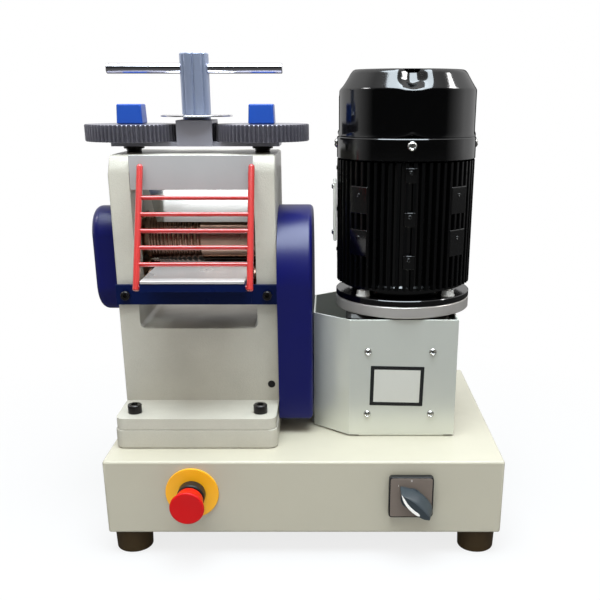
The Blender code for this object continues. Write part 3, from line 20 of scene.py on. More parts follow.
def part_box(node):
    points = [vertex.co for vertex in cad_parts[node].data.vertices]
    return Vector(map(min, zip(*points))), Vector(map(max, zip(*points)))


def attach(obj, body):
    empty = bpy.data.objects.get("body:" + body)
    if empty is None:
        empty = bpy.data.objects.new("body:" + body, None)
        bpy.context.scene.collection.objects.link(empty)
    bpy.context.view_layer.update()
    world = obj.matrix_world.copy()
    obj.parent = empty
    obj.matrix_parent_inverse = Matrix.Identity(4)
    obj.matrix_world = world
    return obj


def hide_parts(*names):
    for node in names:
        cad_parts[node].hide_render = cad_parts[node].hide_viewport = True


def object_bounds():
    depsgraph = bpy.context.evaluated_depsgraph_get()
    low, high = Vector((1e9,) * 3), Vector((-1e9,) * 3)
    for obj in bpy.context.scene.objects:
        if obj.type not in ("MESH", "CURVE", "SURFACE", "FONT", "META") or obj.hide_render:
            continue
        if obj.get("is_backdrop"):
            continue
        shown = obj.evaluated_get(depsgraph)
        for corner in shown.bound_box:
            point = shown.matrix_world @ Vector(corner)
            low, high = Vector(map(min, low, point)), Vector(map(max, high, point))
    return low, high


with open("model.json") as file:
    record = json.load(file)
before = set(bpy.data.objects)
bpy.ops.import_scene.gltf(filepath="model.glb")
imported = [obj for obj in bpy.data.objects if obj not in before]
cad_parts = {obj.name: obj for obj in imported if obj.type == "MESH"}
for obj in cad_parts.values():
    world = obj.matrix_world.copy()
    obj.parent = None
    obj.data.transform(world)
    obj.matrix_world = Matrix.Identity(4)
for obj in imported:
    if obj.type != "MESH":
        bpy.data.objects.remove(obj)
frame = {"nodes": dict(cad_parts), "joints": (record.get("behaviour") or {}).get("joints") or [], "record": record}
CAD_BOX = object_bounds()

LOG = logging.getLogger("mill")
Pair = tuple[float, float]
Colour = tuple[float, float, float]
BMesh = bmesh.types.BMesh
Socket = bpy.types.NodeSocket
Value = Union[float, Sequence[float], Socket]

MM = 0.001
TAU = math.tau
AIR = 0.3 * MM
ROUND_SIDES = 96
SHARP_ANGLE = math.radians(32)
FLAT_ANGLE = math.radians(0.5)
WELD = 0.02 * MM
SIDES = ("left", "right")
CORNERS = ("front_left", "front_right", "rear_left", "rear_right")
WHITE = (1, 1, 1, 1)


class Facing(Enum):
    """The way a piece points that was drawn in its own plane, standing along its own Z."""

    FRONT = ((1, 0, 0), (0, 0, 1), (0, -1, 0))
    BACK = ((-1, 0, 0), (0, 0, 1), (0, 1, 0))
    RIGHT = ((0, 1, 0), (0, 0, 1), (1, 0, 0))
    LEFT = ((0, -1, 0), (0, 0, 1), (-1, 0, 0))

    def at(self, spot: Sequence[float]) -> Matrix:
        """Return the matrix that turns a piece this way and moves it to a spot."""
        return Matrix.Translation(Vector(spot)) @ Matrix(self.value).transposed().to_4x4()


class Pattern(Enum):
    """How a Geometry Nodes tree sets out copies of one unit."""

    RING = "ring"
    ROW = "row"
    GRID = "grid"


class Grain(Enum):
    """How a surface's fine marks lie: the stretch of the grain along X, Y and Z."""

    EVEN = (1, 1, 1)
    ROUND_X = (40, 1, 1)
    ROUND_Z = (1, 1, 40)
    BRUSHED_Z = (12, 12, 0.25)
    BRUSHED_X = (0.25, 12, 12)


class Nodes:
    """Short calls for adding and linking the nodes of one tree."""

    def __init__(self, tree: bpy.types.NodeTree) -> None:
        """Keep the tree to build in."""
        self.tree = tree

    def fill(self, node: bpy.types.Node, inputs: dict) -> bpy.types.Node:
        """Fill a node's inputs with values, or link them to the sockets that feed them.

        Args:
            node: The node.
            inputs: Input name or number to a value or a socket.

        Returns:
            The same node.
        """
        for key, value in inputs.items():
            if isinstance(value, Socket):
                self.tree.links.new(value, node.inputs[key])
            else:
                node.inputs[key].default_value = value
        return node

    def add(self, kind: str, inputs: Optional[dict] = None, **settings) -> bpy.types.Node:
        """Add a node, set its properties and fill its inputs.

        Args:
            kind: The node's type name.
            inputs: Input name or number to a value, or to the socket that feeds it.
            settings: Properties of the node.

        Returns:
            The new node.
        """
        node = self.tree.nodes.new(kind)
        for key, value in settings.items():
            setattr(node, key, value)
        return self.fill(node, inputs or {})

    def math(self, operation: str, *values: Value) -> Socket:
        """Add a Math node and return its result."""
        node = self.add("ShaderNodeMath", dict(enumerate(values)), operation=operation)
        return node.outputs[0]

    def vector(self, operation: str, *values: Value) -> Socket:
        """Add a Vector Math node and return its result, a number or a vector."""
        node = self.add("ShaderNodeVectorMath", dict(enumerate(values)), operation=operation)
        return node.outputs["Value" if operation in ("DOT_PRODUCT", "LENGTH") else "Vector"]

    def mix(self, factor: Value, first: Value, second: Value) -> Socket:
        """Add a colour mix and return its result."""
        node = self.add("ShaderNodeMix", {0: factor, 6: first, 7: second}, data_type="RGBA")
        return node.outputs[2]

    def blend(self, factor: Socket, first: Socket, second: Socket) -> Socket:
        """Add a mix of two shaders and return its result."""
        return self.add("ShaderNodeMixShader", {0: factor, 1: first, 2: second}).outputs[0]

    def span(self, value: Socket, source: Pair, target: Pair = (0.0, 1.0)) -> Socket:
        """Map a value from one range to another, and no further, and return the result.

        Args:
            value: The value.
            source: Where it starts from, as a low and a high end.
            target: Where these two ends go.

        Returns:
            The mapped value.
        """
        return self.add("ShaderNodeMapRange", {
            "Value": value, "From Min": source[0], "From Max": source[1],
            "To Min": target[0], "To Max": target[1]}).outputs[0]

    def noise(self, place: Socket, scale: Value, detail: float,
              roughness: float = 0.5) -> Socket:
        """Add a noise over a place and return its value."""
        return self.add("ShaderNodeTexNoise", {"Vector": place, "Scale": scale, "Detail": detail,
                                               "Roughness": roughness}).outputs[0]


def shader_group(name: str, recipe: Callable, **inputs: str) -> bpy.types.NodeTree:
    """Build a shader node group.

    Args:
        name: The group's name.
        recipe: Makes the nodes from the helper and the inputs, and returns the outputs by name.
        inputs: Input names, each with its socket type.

    Returns:
        The group.
    """
    tree = bpy.data.node_groups.new(name, "ShaderNodeTree")
    for socket, kind in inputs.items():
        tree.interface.new_socket(name=socket, in_out="INPUT", socket_type=kind)
    nodes = Nodes(tree)
    results = recipe(nodes, nodes.add("NodeGroupInput").outputs)
    for socket in results:
        tree.interface.new_socket(name=socket, in_out="OUTPUT", socket_type=FLOAT)
    nodes.add("NodeGroupOutput", results)
    return tree


def grain(nodes: Nodes, given: bpy.types.NodeOutputs) -> dict[str, Socket]:
    """Make fine marks as a height, and slow changes as a tone.

    Args:
        nodes: The helper of the group's tree.
        given: The group's inputs by name.

    Returns:
        The outputs Height and Tone.
    """
    stretched = nodes.vector("MULTIPLY", given["Vector"], given["Stretch"])
    rate = nodes.math("DIVIDE", 1.0, given["Size"])
    return {"Height": nodes.noise(stretched, rate, detail=3.0, roughness=0.6),
            "Tone": nodes.noise(given["Vector"], scale=22.0, detail=4.0)}


def edge_wear(nodes: Nodes, given: bpy.types.NodeOutputs) -> dict[str, Socket]:
    """Find rubbed edges, and the edges that take a painted highlight on some finishes, broken up by noise.

    Args:
        nodes: The helper of the group's tree.
        given: The group's inputs by name.

    Returns:
        The output Mask, 1 on rubbed edges and on edges with a painted highlight.
    """
    flat = nodes.add("ShaderNodeNewGeometry").outputs["Normal"]
    round_edge = nodes.add("ShaderNodeBevel", {"Radius": given["Width"]}, samples=6).outputs[0]
    edge = nodes.span(nodes.vector("DOT_PRODUCT", flat, round_edge), (0.985, 0.90))
    patches = nodes.span(nodes.noise(given["Vector"], scale=240.0, detail=4.0), (0.42, 0.62))
    return {"Mask": nodes.math("MULTIPLY", nodes.math("MULTIPLY", edge, patches), given["Amount"])}


def settled_dust(nodes: Nodes, given: bpy.types.NodeOutputs) -> dict[str, Socket]:
    """Lay a little dust on faces that look up.

    Args:
        nodes: The helper of the group's tree.
        given: The group's inputs by name.

    Returns:
        The output Mask, 1 where the dust is thickest.
    """
    normal = nodes.add("ShaderNodeNewGeometry").outputs["Normal"]
    up = nodes.add("ShaderNodeSeparateXYZ", {0: normal}).outputs[2]
    patches = nodes.span(nodes.noise(given["Vector"], scale=45.0, detail=6.0), (0.35, 0.75))
    facing = nodes.span(up, (0.35, 1.0))
    return {"Mask": nodes.math("MULTIPLY", nodes.math("MULTIPLY", facing, patches),
                               given["Amount"])}


VECTOR, FLOAT = "NodeSocketVector", "NodeSocketFloat"
GRAIN_GROUP = shader_group("surface_grain", grain, Vector=VECTOR, Stretch=VECTOR, Size=FLOAT)
WEAR_AND_HIGHLIGHT_GROUP = shader_group("edge_wear", edge_wear, Vector=VECTOR, Width=FLOAT, Amount=FLOAT)
DUST_GROUP = shader_group("dust", settled_dust, Vector=VECTOR, Amount=FLOAT)
DUST_COLOUR = (0.36, 0.33, 0.29, 1)
DUST_ROUGHNESS = 0.4
NOISE_RANGE = (0.3, 0.7)
RIM_RANGE = (0.45, 0.85)
SMOOTHEST = 0.02


@dataclass(frozen=True)
class Finish:
    """One surface finish, with the record's slot it stands for."""

    name: str
    slot: str
    colour: Colour
    rough: float
    metallic: float = 0.0
    coat: float = 0.0
    specular: float = 0.5
    grain: Grain = Grain.EVEN
    grain_size: float = 0.8 * MM
    relief: float = 0.0
    blotch: float = 0.25
    shade: float = 0.75
    # Edge colour: rubbed edges, which on some finishes also carry a painted highlight.
    wear_and_highlight: float = 0.0
    worn_and_highlight_colour: Colour = (0.35, 0.34, 0.33)
    wear_and_highlight_width: float = 0.8 * MM
    dust: float = 0.0
    spread: float = 0.08
    rim: float = 1.0

    def material(self) -> bpy.types.Material:
        """Return the finish's material, built at its first use."""
        return bpy.data.materials.get(self.name) or self.build()

    def build(self) -> bpy.types.Material:
        """Build the finish's node tree.

        Returns:
            A Principled material whose colour, roughness and normal change over the surface.
        """
        material = bpy.data.materials.new(self.name)
        material.use_nodes = True
        material.diffuse_color = (*self.colour, 1)
        nodes = Nodes(material.node_tree)
        place = nodes.add("ShaderNodeTexCoord").outputs["Object"]
        marks = nodes.add("ShaderNodeGroup", {
            "Vector": place, "Stretch": self.grain.value, "Size": self.grain_size},
            node_tree=GRAIN_GROUP).outputs
        dark = (*(self.shade * c for c in self.colour), 1)
        clouds = nodes.span(marks["Tone"], NOISE_RANGE, (0.0, self.blotch))
        specks = nodes.span(marks["Height"], NOISE_RANGE, (0.0, self.blotch / 2))
        colour = nodes.mix(specks, nodes.mix(clouds, (*self.colour, 1), dark), dark)
        rough = nodes.span(marks["Tone"], NOISE_RANGE, (
            max(self.rough - self.spread / 2, SMOOTHEST), self.rough + self.spread / 2))
        # Edge colour: rubbed edges, and on the gears and the spindle head a painted highlight.
        if self.wear_and_highlight:
            wear_and_highlight_mask = nodes.add("ShaderNodeGroup", {
                "Vector": place, "Width": self.wear_and_highlight_width, "Amount": self.wear_and_highlight},
                node_tree=WEAR_AND_HIGHLIGHT_GROUP).outputs["Mask"]
            colour = nodes.mix(wear_and_highlight_mask, colour, (*self.worn_and_highlight_colour, 1))
        if self.dust:
            dusty = nodes.add("ShaderNodeGroup", {"Vector": place, "Amount": self.dust},
                              node_tree=DUST_GROUP).outputs["Mask"]
            colour = nodes.mix(dusty, colour, DUST_COLOUR)
            rough = nodes.math("ADD", rough, nodes.math("MULTIPLY", dusty, DUST_ROUGHNESS))
        shader = nodes.fill(material.node_tree.nodes["Principled BSDF"], {
            "Base Color": colour, "Roughness": rough, "Metallic": self.metallic,
            "Coat Weight": self.coat, "Specular IOR Level": self.specular})
        if self.relief:
            bump = nodes.add("ShaderNodeBump", {"Strength": 1.0, "Distance": self.relief,
                                                "Height": marks["Height"]})
            nodes.fill(shader, {"Normal": bump.outputs[0]})
        if self.rim < 1:
            edge = nodes.add("ShaderNodeLayerWeight", {"Blend": 0.5}).outputs["Facing"]
            level = nodes.span(edge, RIM_RANGE, (self.specular, self.specular * self.rim))
            nodes.fill(shader, {"Specular IOR Level": level})
        return material


FRAME_PAINT = Finish("frame_paint", "grey_white_paint", (0.52, 0.49, 0.415), 0.40, coat=0.15,
                     grain_size=1.3 * MM, relief=0.48 * MM, blotch=0.5, shade=0.76, wear_and_highlight=0.5,
                     worn_and_highlight_colour=(0.36, 0.33, 0.27), dust=0.06)
BASE_PAINT = Finish("base_paint", "grey_white_paint", (0.455, 0.418, 0.325), 0.40, coat=0.1,
                    relief=0.07 * MM, blotch=0.18, shade=0.88, wear_and_highlight=0.35,
                    worn_and_highlight_colour=(0.38, 0.35, 0.28), dust=0.05)
CROWN_PAINT = Finish("crown_paint", "crown_grey", (0.47, 0.455, 0.45), 0.36, metallic=0.2,
                     grain=Grain.BRUSHED_X, grain_size=1.4 * MM, relief=0.008 * MM, blotch=0.3)
BAR_BLUE = Finish("bar_blue", "blue_paint", (0.0008, 0.006, 0.050), 0.30, specular=0.2,
                  grain_size=0.9 * MM, relief=0.03 * MM, wear_and_highlight=0.35, worn_and_highlight_colour=(0.05, 0.08, 0.22))
COVER_NAVY = Finish("cover_navy", "navy_paint", (0.003, 0.004, 0.080), 0.33, specular=0.36,
                    grain_size=1.8 * MM, relief=0.03 * MM, wear_and_highlight=0.2,
                    worn_and_highlight_colour=(0.10, 0.11, 0.36), rim=0.25)
CAP_PLASTIC = Finish("cap_plastic", "cap_blue", (0.014, 0.070, 0.37), 0.36, specular=0.3,
                     grain_size=0.5 * MM, relief=0.02 * MM, blotch=0.3)
GUARD_RED = Finish("guard_red", "red_paint", (0.46, 0.028, 0.025), 0.16, coat=0.6,
                   grain_size=1.4 * MM, relief=0.02 * MM, blotch=0.3, shade=0.6)
BUTTON_PLASTIC = Finish("button_plastic", "button_red", (0.55, 0.002, 0.003), 0.38, specular=0.2,
                        grain_size=0.5 * MM, relief=0.012 * MM, blotch=0.2)
LEGEND_PLASTIC = Finish("legend_plastic", "legend_yellow", (0.92, 0.42, 0.004), 0.42,
                        grain_size=0.6 * MM, relief=0.012 * MM, blotch=0.2, shade=0.85)
SATIN_BLACK = Finish("satin_black", "black_plastic", (0.012, 0.012, 0.012), 0.40, specular=0.3,
                     grain_size=0.5 * MM, relief=0.02 * MM, spread=0.12)
LEVER_GREY = Finish("lever_grey", "black_plastic", (0.035, 0.045, 0.052), 0.34, specular=0.4,
                    grain_size=0.6 * MM, relief=0.015 * MM, blotch=0.35)
WHITE_MARK = Finish("white_mark", "black_plastic", (0.86, 0.83, 0.78), 0.4, blotch=0.1)
FOOT_RUBBER = Finish("foot_rubber", "rubber", (0.045, 0.025, 0.006), 0.66, specular=0.3,
                     grain_size=0.7 * MM, relief=0.06 * MM, blotch=0.5, dust=0.05)
SWITCH_FACE = Finish("switch_face_metal", "switch_face", (0.22, 0.175, 0.145), 0.34, metallic=0.2,
                     grain=Grain.BRUSHED_X, grain_size=1.0 * MM, relief=0.01 * MM)
BLACK_OXIDE = Finish("black_oxide", "black_steel", (0.024, 0.022, 0.022), 0.30, metallic=0.7,
                     grain_size=0.5 * MM, relief=0.02 * MM, wear_and_highlight=0.5, worn_and_highlight_colour=(0.16, 0.155, 0.15))
# Its bright edge colour is painted highlight on the tooth chamfers, besides real rubbing of the edges.
GEAR_STEEL = Finish("gear_steel_cut", "gear_steel", (0.175, 0.165, 0.195), 0.34, metallic=0.6,
                    grain_size=1.6 * MM, relief=0.004 * MM, blotch=0.3, wear_and_highlight=0.45,
                    worn_and_highlight_colour=(0.62, 0.62, 0.64), wear_and_highlight_width=0.5 * MM)
# The rolls' reddish tone is partly painted reflection of the red guard in the ground steel.
ROLL_STEEL = Finish("roll_steel_ground", "roll_steel", (0.42, 0.275, 0.210), 0.22, metallic=1.0,
                    grain=Grain.ROUND_X, grain_size=2.4 * MM, relief=0.012 * MM, blotch=0.6,
                    shade=0.5, spread=0.14)
POLISHED = Finish("polished_steel", "bright_steel", (0.66, 0.65, 0.63), 0.09, metallic=1.0,
                  grain=Grain.BRUSHED_X, grain_size=1.2 * MM, relief=0.003 * MM, blotch=0.2)
TABLE_STEEL = Finish("table_steel", "bright_steel", (0.78, 0.74, 0.71), 0.30, metallic=0.55,
                     grain=Grain.BRUSHED_X, grain_size=1.2 * MM, relief=0.006 * MM, blotch=0.1)
MILLED = Finish("milled_steel", "block_steel", (0.39, 0.38, 0.44), 0.38, metallic=0.4,
                grain=Grain.BRUSHED_Z, grain_size=1.4 * MM, relief=0.010 * MM, blotch=0.35,
                wear_and_highlight=0.6, worn_and_highlight_colour=(0.5, 0.5, 0.5))
# Its dark bluish tone is painted reflection on the chrome, and its bright edge colour is painted highlight along
# the flutes, besides real rubbing.
SPINDLE_CHROME = Finish("spindle_chrome", "chrome", (0.30, 0.34, 0.46), 0.34, metallic=0.55,
                        grain=Grain.BRUSHED_Z, grain_size=2.4 * MM, blotch=0.2,
                        wear_and_highlight=0.8, worn_and_highlight_colour=(0.62, 0.64, 0.70), wear_and_highlight_width=0.5 * MM)
CHROME = Finish("chrome_plate", "chrome", (0.66, 0.65, 0.68), 0.16, metallic=1.0, blotch=0.12,
                grain_size=3.0 * MM, spread=0.05)
BRONZE = Finish("cast_bronze", "bronze", (0.45, 0.28, 0.10), 0.35, metallic=1.0, blotch=0.4,
                relief=0.03 * MM)
CABINET_SHEET = Finish("cabinet_sheet", "silver_sheet", (0.74, 0.75, 0.68), 0.34, metallic=0.55,
                       grain=Grain.BRUSHED_Z, grain_size=1.5 * MM, relief=0.005 * MM,
                       blotch=0.18, shade=0.88, wear_and_highlight=0.5, worn_and_highlight_colour=(0.72, 0.72, 0.68))
CASTING = Finish("machined_casting", "aluminium_casting", (0.50, 0.47, 0.44), 0.34,
                 metallic=0.5, grain=Grain.ROUND_Z, grain_size=1.6 * MM, relief=0.010 * MM,
                 blotch=0.35)
DARK_CASTING = Finish("dark_casting", "aluminium_casting", (0.035, 0.033, 0.030), 0.5,
                      metallic=0.3, grain_size=0.9 * MM, relief=0.06 * MM, blotch=0.4)
MOTOR_GLOSS = Finish("motor_gloss", "motor_black", (0.0008, 0.0008, 0.0009), 0.11, specular=0.62,
                     grain_size=2.6 * MM, relief=0.02 * MM, blotch=0.3, spread=0.06, rim=0.0)
MOTOR_CAST = Finish("motor_cast", "motor_black", (0.0014, 0.0014, 0.0015), 0.30, specular=0.22,
                    grain_size=1.4 * MM, relief=0.05 * MM, blotch=0.4, spread=0.12, rim=0.0)
ZINC_STEEL = Finish("zinc_steel", "bright_steel", (0.80, 0.78, 0.74), 0.30, metallic=0.3,
                    grain_size=0.6 * MM, relief=0.01 * MM, blotch=0.3)
SCREW_STEEL = Finish("screw_steel", "bright_steel", (0.60, 0.59, 0.57), 0.22, metallic=1.0,
                     grain_size=0.6 * MM, relief=0.01 * MM, blotch=0.3)
LABEL_SILVER = Finish("label_silver", "silver_sheet", (0.56, 0.55, 0.50), 0.40, metallic=0.1,
                      relief=0.004 * MM, blotch=0.15)
LABEL_BLACK = Finish("label_black", "black_plastic", (0.012, 0.012, 0.012), 0.45, specular=0.3,
                     blotch=0.2)

INNER_FINISHES = {
    SATIN_BLACK: ("fan",),
    POLISHED: ("lift_spring_left", "lift_spring_right", "output_shaft", "motor_rotor"),
    CASTING: ("gearbox_end_cap",),
    GEAR_STEEL: ("lower_roll_gear", "upper_roll_gear", "main_gear", "drive_pinion"),
}


def middle(node: str) -> Vector:
    """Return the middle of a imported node's box."""
    low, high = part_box(node)
    return (low + high) / 2


def up(height: float) -> Matrix:
    """Return the matrix that lifts a piece."""
    return Matrix.Translation((0, 0, height))


def upright(node: str) -> tuple[Vector, Vector, float, Matrix]:
    """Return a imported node's box, its radius in plan and the place of its upright axis.

    Args:
        node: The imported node.

    Returns:
        The box's low and high corner, the radius and the matrix.
    """
    low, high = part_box(node)
    spot = middle(node)
    return low, high, (high.x - low.x) / 2, Matrix.Translation((spot.x, spot.y, 0))


def on_base_front(node: str) -> tuple[Matrix, float, float, float]:
    """Return a node's place on the base's front, its radius, its back and its front.

    Args:
        node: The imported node.

    Returns:
        The place, half the width, and how far the back and the front stand out.
    """
    low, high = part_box(node)
    spot = middle(node)
    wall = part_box("base_cabinet")[0].y
    place = Facing.FRONT.at((spot.x, wall, spot.z))
    return place, (high.x - low.x) / 2, wall - high.y, wall - low.y


def polar(radius: float, angle: float, height: float = 0.0) -> tuple[float, float, float]:
    """Return the point at a radius, an angle and a height."""
    return radius * math.cos(angle), radius * math.sin(angle), height


def arc(centre: Pair, radius: float, start: float, end: float, steps: int) -> list[Pair]:
    """Return the points of an arc, both ends included."""
    angles = [start + (end - start) * k / steps for k in range(steps + 1)]
    return [(centre[0] + radius * math.cos(a), centre[1] + radius * math.sin(a)) for a in angles]


def rounded(half: Pair, radius: float, steps: int = 8) -> list[Pair]:
    """Return a centred rectangle's outline with round corners.

    Args:
        half: Half the width and half the height.
        radius: Radius of the corners.
        steps: Steps of each corner.

    Returns:
        The outline's points.
    """
    u, v = half[0] - radius, half[1] - radius
    outline = []
    for k, corner in enumerate(((u, v), (-u, v), (-u, -v), (u, -v))):
        outline += arc(corner, radius, TAU / 4 * k, TAU / 4 * (k + 1), steps)
    return outline


def smooth_loop(points: Sequence[Pair], steps: int = 6) -> list[Pair]:
    """Return a smooth closed curve through some points, given in millimetres.

    Args:
        points: The points, in millimetres.
        steps: Steps between two points.

    Returns:
        The curve's points, in metres.
    """
    curve = []
    for k in range(len(points)):
        before, start, end, after = (Vector(points[(k + step) % len(points)])
                                     for step in (-1, 0, 1, 2))
        for t in (step / steps for step in range(steps)):
            spot = (start * 2 + (end - before) * t
                    + (before * 2 - start * 5 + end * 4 - after) * t * t
                    + (start * 3 - before - end * 3 + after) * t ** 3) / 2
            curve.append((spot.x * MM, spot.y * MM))
    return curve


def hexagon(across: float) -> list[Pair]:
    """Return a hexagon's outline from its width across flats."""
    return arc((0, 0), across / math.sqrt(3), 0, TAU * 5 / 6, 5)


def stepped(bottom: float, *steps: Pair) -> list[Pair]:
    """Return a stepped shaft's profile, from its foot and the radius and top of each step.

    Args:
        bottom: Height of the shaft's foot.
        steps: Each step's radius and top.

    Returns:
        The profile, from the axis to the axis.
    """
    profile = [(0, bottom)]
    for radius, top in steps:
        profile += [(radius, profile[-1][1]), (radius, top)]
    return profile + [(0, profile[-1][1])]


def ring_of(mesh: BMesh, points: Sequence[Sequence[float]], height: float) -> list:
    """Add a row of points at one height to a mesh."""
    return [mesh.verts.new((point[0], point[1], height)) for point in points]


def circle(mesh: BMesh, radius: float, height: float, sides: int) -> list:
    """Add a circle about Z to a mesh, or a single point where its radius is zero."""
    count = sides if radius > 0 else 1
    return ring_of(mesh, [polar(radius, TAU * k / sides) for k in range(count)], height)


def skin(mesh: BMesh, rings: Sequence[list], closed: bool = True) -> None:
    """Join rows of points with faces, each row to the next.

    Args:
        mesh: The mesh that the points are in.
        rings: The rows, of equal length or with a single point.
        closed: Whether the end of a row joins its start.
    """
    for first, second in zip(rings, rings[1:]):
        count = max(len(first), len(second))
        for k in range(count if closed else count - 1):
            corners = (first[k % len(first)], first[(k + 1) % len(first)],
                       second[(k + 1) % len(second)], second[k % len(second)])
            corners = list(dict.fromkeys(corners))
            if len(corners) > 2:
                mesh.faces.new(corners)


def outward(mesh: BMesh) -> BMesh:
    """Turn a closed mesh's faces outwards."""
    bmesh.ops.recalc_face_normals(mesh, faces=mesh.faces)
    return mesh


def turned(profile: Sequence[Pair], sides: int = ROUND_SIDES) -> BMesh:
    """Revolve a profile about Z.

    Args:
        profile: Points of radius and height. One that leaves the axis is closed to a ring.
        sides: Number of sides.

    Returns:
        A closed mesh with its faces outwards.
    """
    mesh = bmesh.new()
    rings = [circle(mesh, radius, height, sides) for radius, height in profile]
    skin(mesh, rings + (rings[:1] if profile[0][0] > 0 else []))
    return outward(mesh)


def rod(radius: float, low: float, high: float, sides: int) -> BMesh:
    """Return a plain upright cylinder."""
    return turned(stepped(low, (radius, high)), sides)


def washer(bore: float, radius: float, low: float, high: float, edge: float,
           sides: int) -> BMesh:
    """Return a flat ring whose outer edges are chamfered."""
    return turned(((bore, low), (radius - edge, low), (radius, low + edge), (radius, high - edge),
                   (radius - edge, high), (bore, high)), sides)


def lofted(levels: Sequence[tuple[Sequence[Pair], float]]) -> BMesh:
    """Join outlines of equal length, each with its height, into one closed solid.

    Args:
        levels: The outlines, each with its height.

    Returns:
        A closed mesh with its faces outwards.
    """
    mesh = bmesh.new()
    rings = [ring_of(mesh, outline, height) for outline, height in levels]
    mesh.faces.new(rings[0])
    mesh.faces.new(rings[-1])
    skin(mesh, rings)
    return outward(mesh)


def raised(outline: Sequence[Pair], low: float, high: float) -> BMesh:
    """Return a prism over an outline."""
    return lofted(((outline, low), (outline, high)))


def block(size: Sequence[float]) -> BMesh:
    """Return a block centred in plan, standing on its own Z = 0."""
    u, v = size[0] / 2, size[1] / 2
    return raised(((-u, -v), (u, -v), (u, v), (-u, v)), 0, size[2])


def soften(mesh: BMesh, width: float, segments: int = 3, angle: float = math.radians(38)) -> BMesh:
    """Round the edges of a mesh that are sharper than an angle.

    Args:
        mesh: The mesh, which is changed.
        width: How wide the edges are rounded.
        segments: Steps of each edge.
        angle: The least angle between two faces.

    Returns:
        The same mesh.
    """
    edges = [e for e in mesh.edges if e.is_manifold and e.calc_face_angle(0) > angle]
    bmesh.ops.bevel(mesh, geom=edges, offset=width, segments=segments, profile=0.5,
                    affect="EDGES", clamp_overlap=True)
    return mesh


def merged(*meshes: BMesh) -> BMesh:
    """Put several meshes into the first one.

    Args:
        meshes: The meshes. All but the first are used up.

    Returns:
        The first mesh.
    """
    whole = meshes[0]
    for other in meshes[1:]:
        carrier = bpy.data.meshes.new("carrier")
        other.to_mesh(carrier)
        other.free()
        whole.from_mesh(carrier)
        bpy.data.meshes.remove(carrier)
    return whole


def moved(mesh: BMesh, matrix: Matrix) -> BMesh:
    """Carry a mesh to its place."""
    mesh.transform(matrix)
    return mesh


def settled(piece: bpy.types.Object) -> bpy.types.Object:
    """Apply a piece's modifiers, so that only a plain mesh is left.

    Args:
        piece: The piece, which is changed.

    Returns:
        The same piece.
    """
    graph = bpy.context.evaluated_depsgraph_get()
    data = bpy.data.meshes.new_from_object(piece.evaluated_get(graph))
    data.name = piece.name
    piece.modifiers.clear()
    piece.data = data
    return piece


def linked(name: str, data: Optional[bpy.types.ID]) -> bpy.types.Object:
    """Make an object and link it to the scene.

    Args:
        name: The object's name.
        data: What it shows.

    Returns:
        The object.
    """
    thing = bpy.data.objects.new(name, data)
    bpy.context.scene.collection.objects.link(thing)
    return thing


def as_object(name: str, mesh: BMesh, place: Matrix = Matrix()) -> bpy.types.Object:
    """Make an object of a mesh, smooth but for its sharp edges, with flat faces kept flat.

    Args:
        name: The object's name.
        mesh: The mesh, which is used up.
        place: Where it goes. Its object stays at the origin.

    Returns:
        The object, linked to the scene.
    """
    data = bpy.data.meshes.new(name)
    moved(mesh, place).to_mesh(data)
    mesh.free()
    data.shade_smooth()
    data.set_sharp_from_angle(angle=SHARP_ANGLE)
    piece = linked(name, data)
    piece.modifiers.new("flat_faces", "WEIGHTED_NORMAL").keep_sharp = True
    return settled(piece)


def carved(piece: bpy.types.Object, tool: bpy.types.Object) -> bpy.types.Object:
    """Cut one object out of another.

    Args:
        piece: The piece, which is changed.
        tool: What is cut out of it and removed.

    Returns:
        The same piece.
    """
    change = piece.modifiers.new("cut", "BOOLEAN")
    change.object = tool
    change.solver = "EXACT"
    settled(piece)
    bpy.data.objects.remove(tool)
    return piece


def refined(node: str, width: float = 0.0, segments: int = 2) -> bpy.types.Object:
    """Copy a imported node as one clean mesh, with rounded edges.

    Args:
        node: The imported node.
        width: How wide its sharp edges are rounded. None are at 0.
        segments: Steps of each rounded edge.

    Returns:
        A new object that still has to be placed on its body.
    """
    mesh = bmesh.new()
    mesh.from_mesh(frame["nodes"][node].data)
    bmesh.ops.remove_doubles(mesh, verts=mesh.verts, dist=WELD)
    bmesh.ops.dissolve_limit(mesh, angle_limit=FLAT_ANGLE, verts=mesh.verts, edges=mesh.edges)
    return as_object(f"{node}_surface", soften(mesh, width, segments) if width else mesh)


def painted(piece: bpy.types.Object, finish: Finish) -> bpy.types.Object:
    """Give a piece one finish alone.

    Args:
        piece: The piece, which is changed.
        finish: Its finish.

    Returns:
        The same piece.
    """
    piece.data.materials.clear()
    piece.data.materials.append(finish.material())
    return piece


def dress(piece: bpy.types.Object, finish: Finish, node: str, stands_for: bool = True) -> None:
    """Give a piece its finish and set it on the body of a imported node.

    Args:
        piece: The piece, a plain mesh in its place.
        finish: Its finish.
        node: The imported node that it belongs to.
        stands_for: Whether that node is then hidden.
    """
    bodies = frame["record"]["behaviour"]["bodies"]
    painted(piece, finish)
    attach(piece, next(body for body, members in bodies.items() if node in members))
    if stands_for:
        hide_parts(node)
    LOG.info("%s: %d faces, %s", piece.name, len(piece.data.polygons), finish.name)


def add(name: str, mesh: BMesh, place: Matrix, finish: Finish, node: str,
        stands_for: bool = True) -> None:
    """Make a piece of a mesh in its place and dress it."""
    dress(as_object(name, mesh, place), finish, node, stands_for)


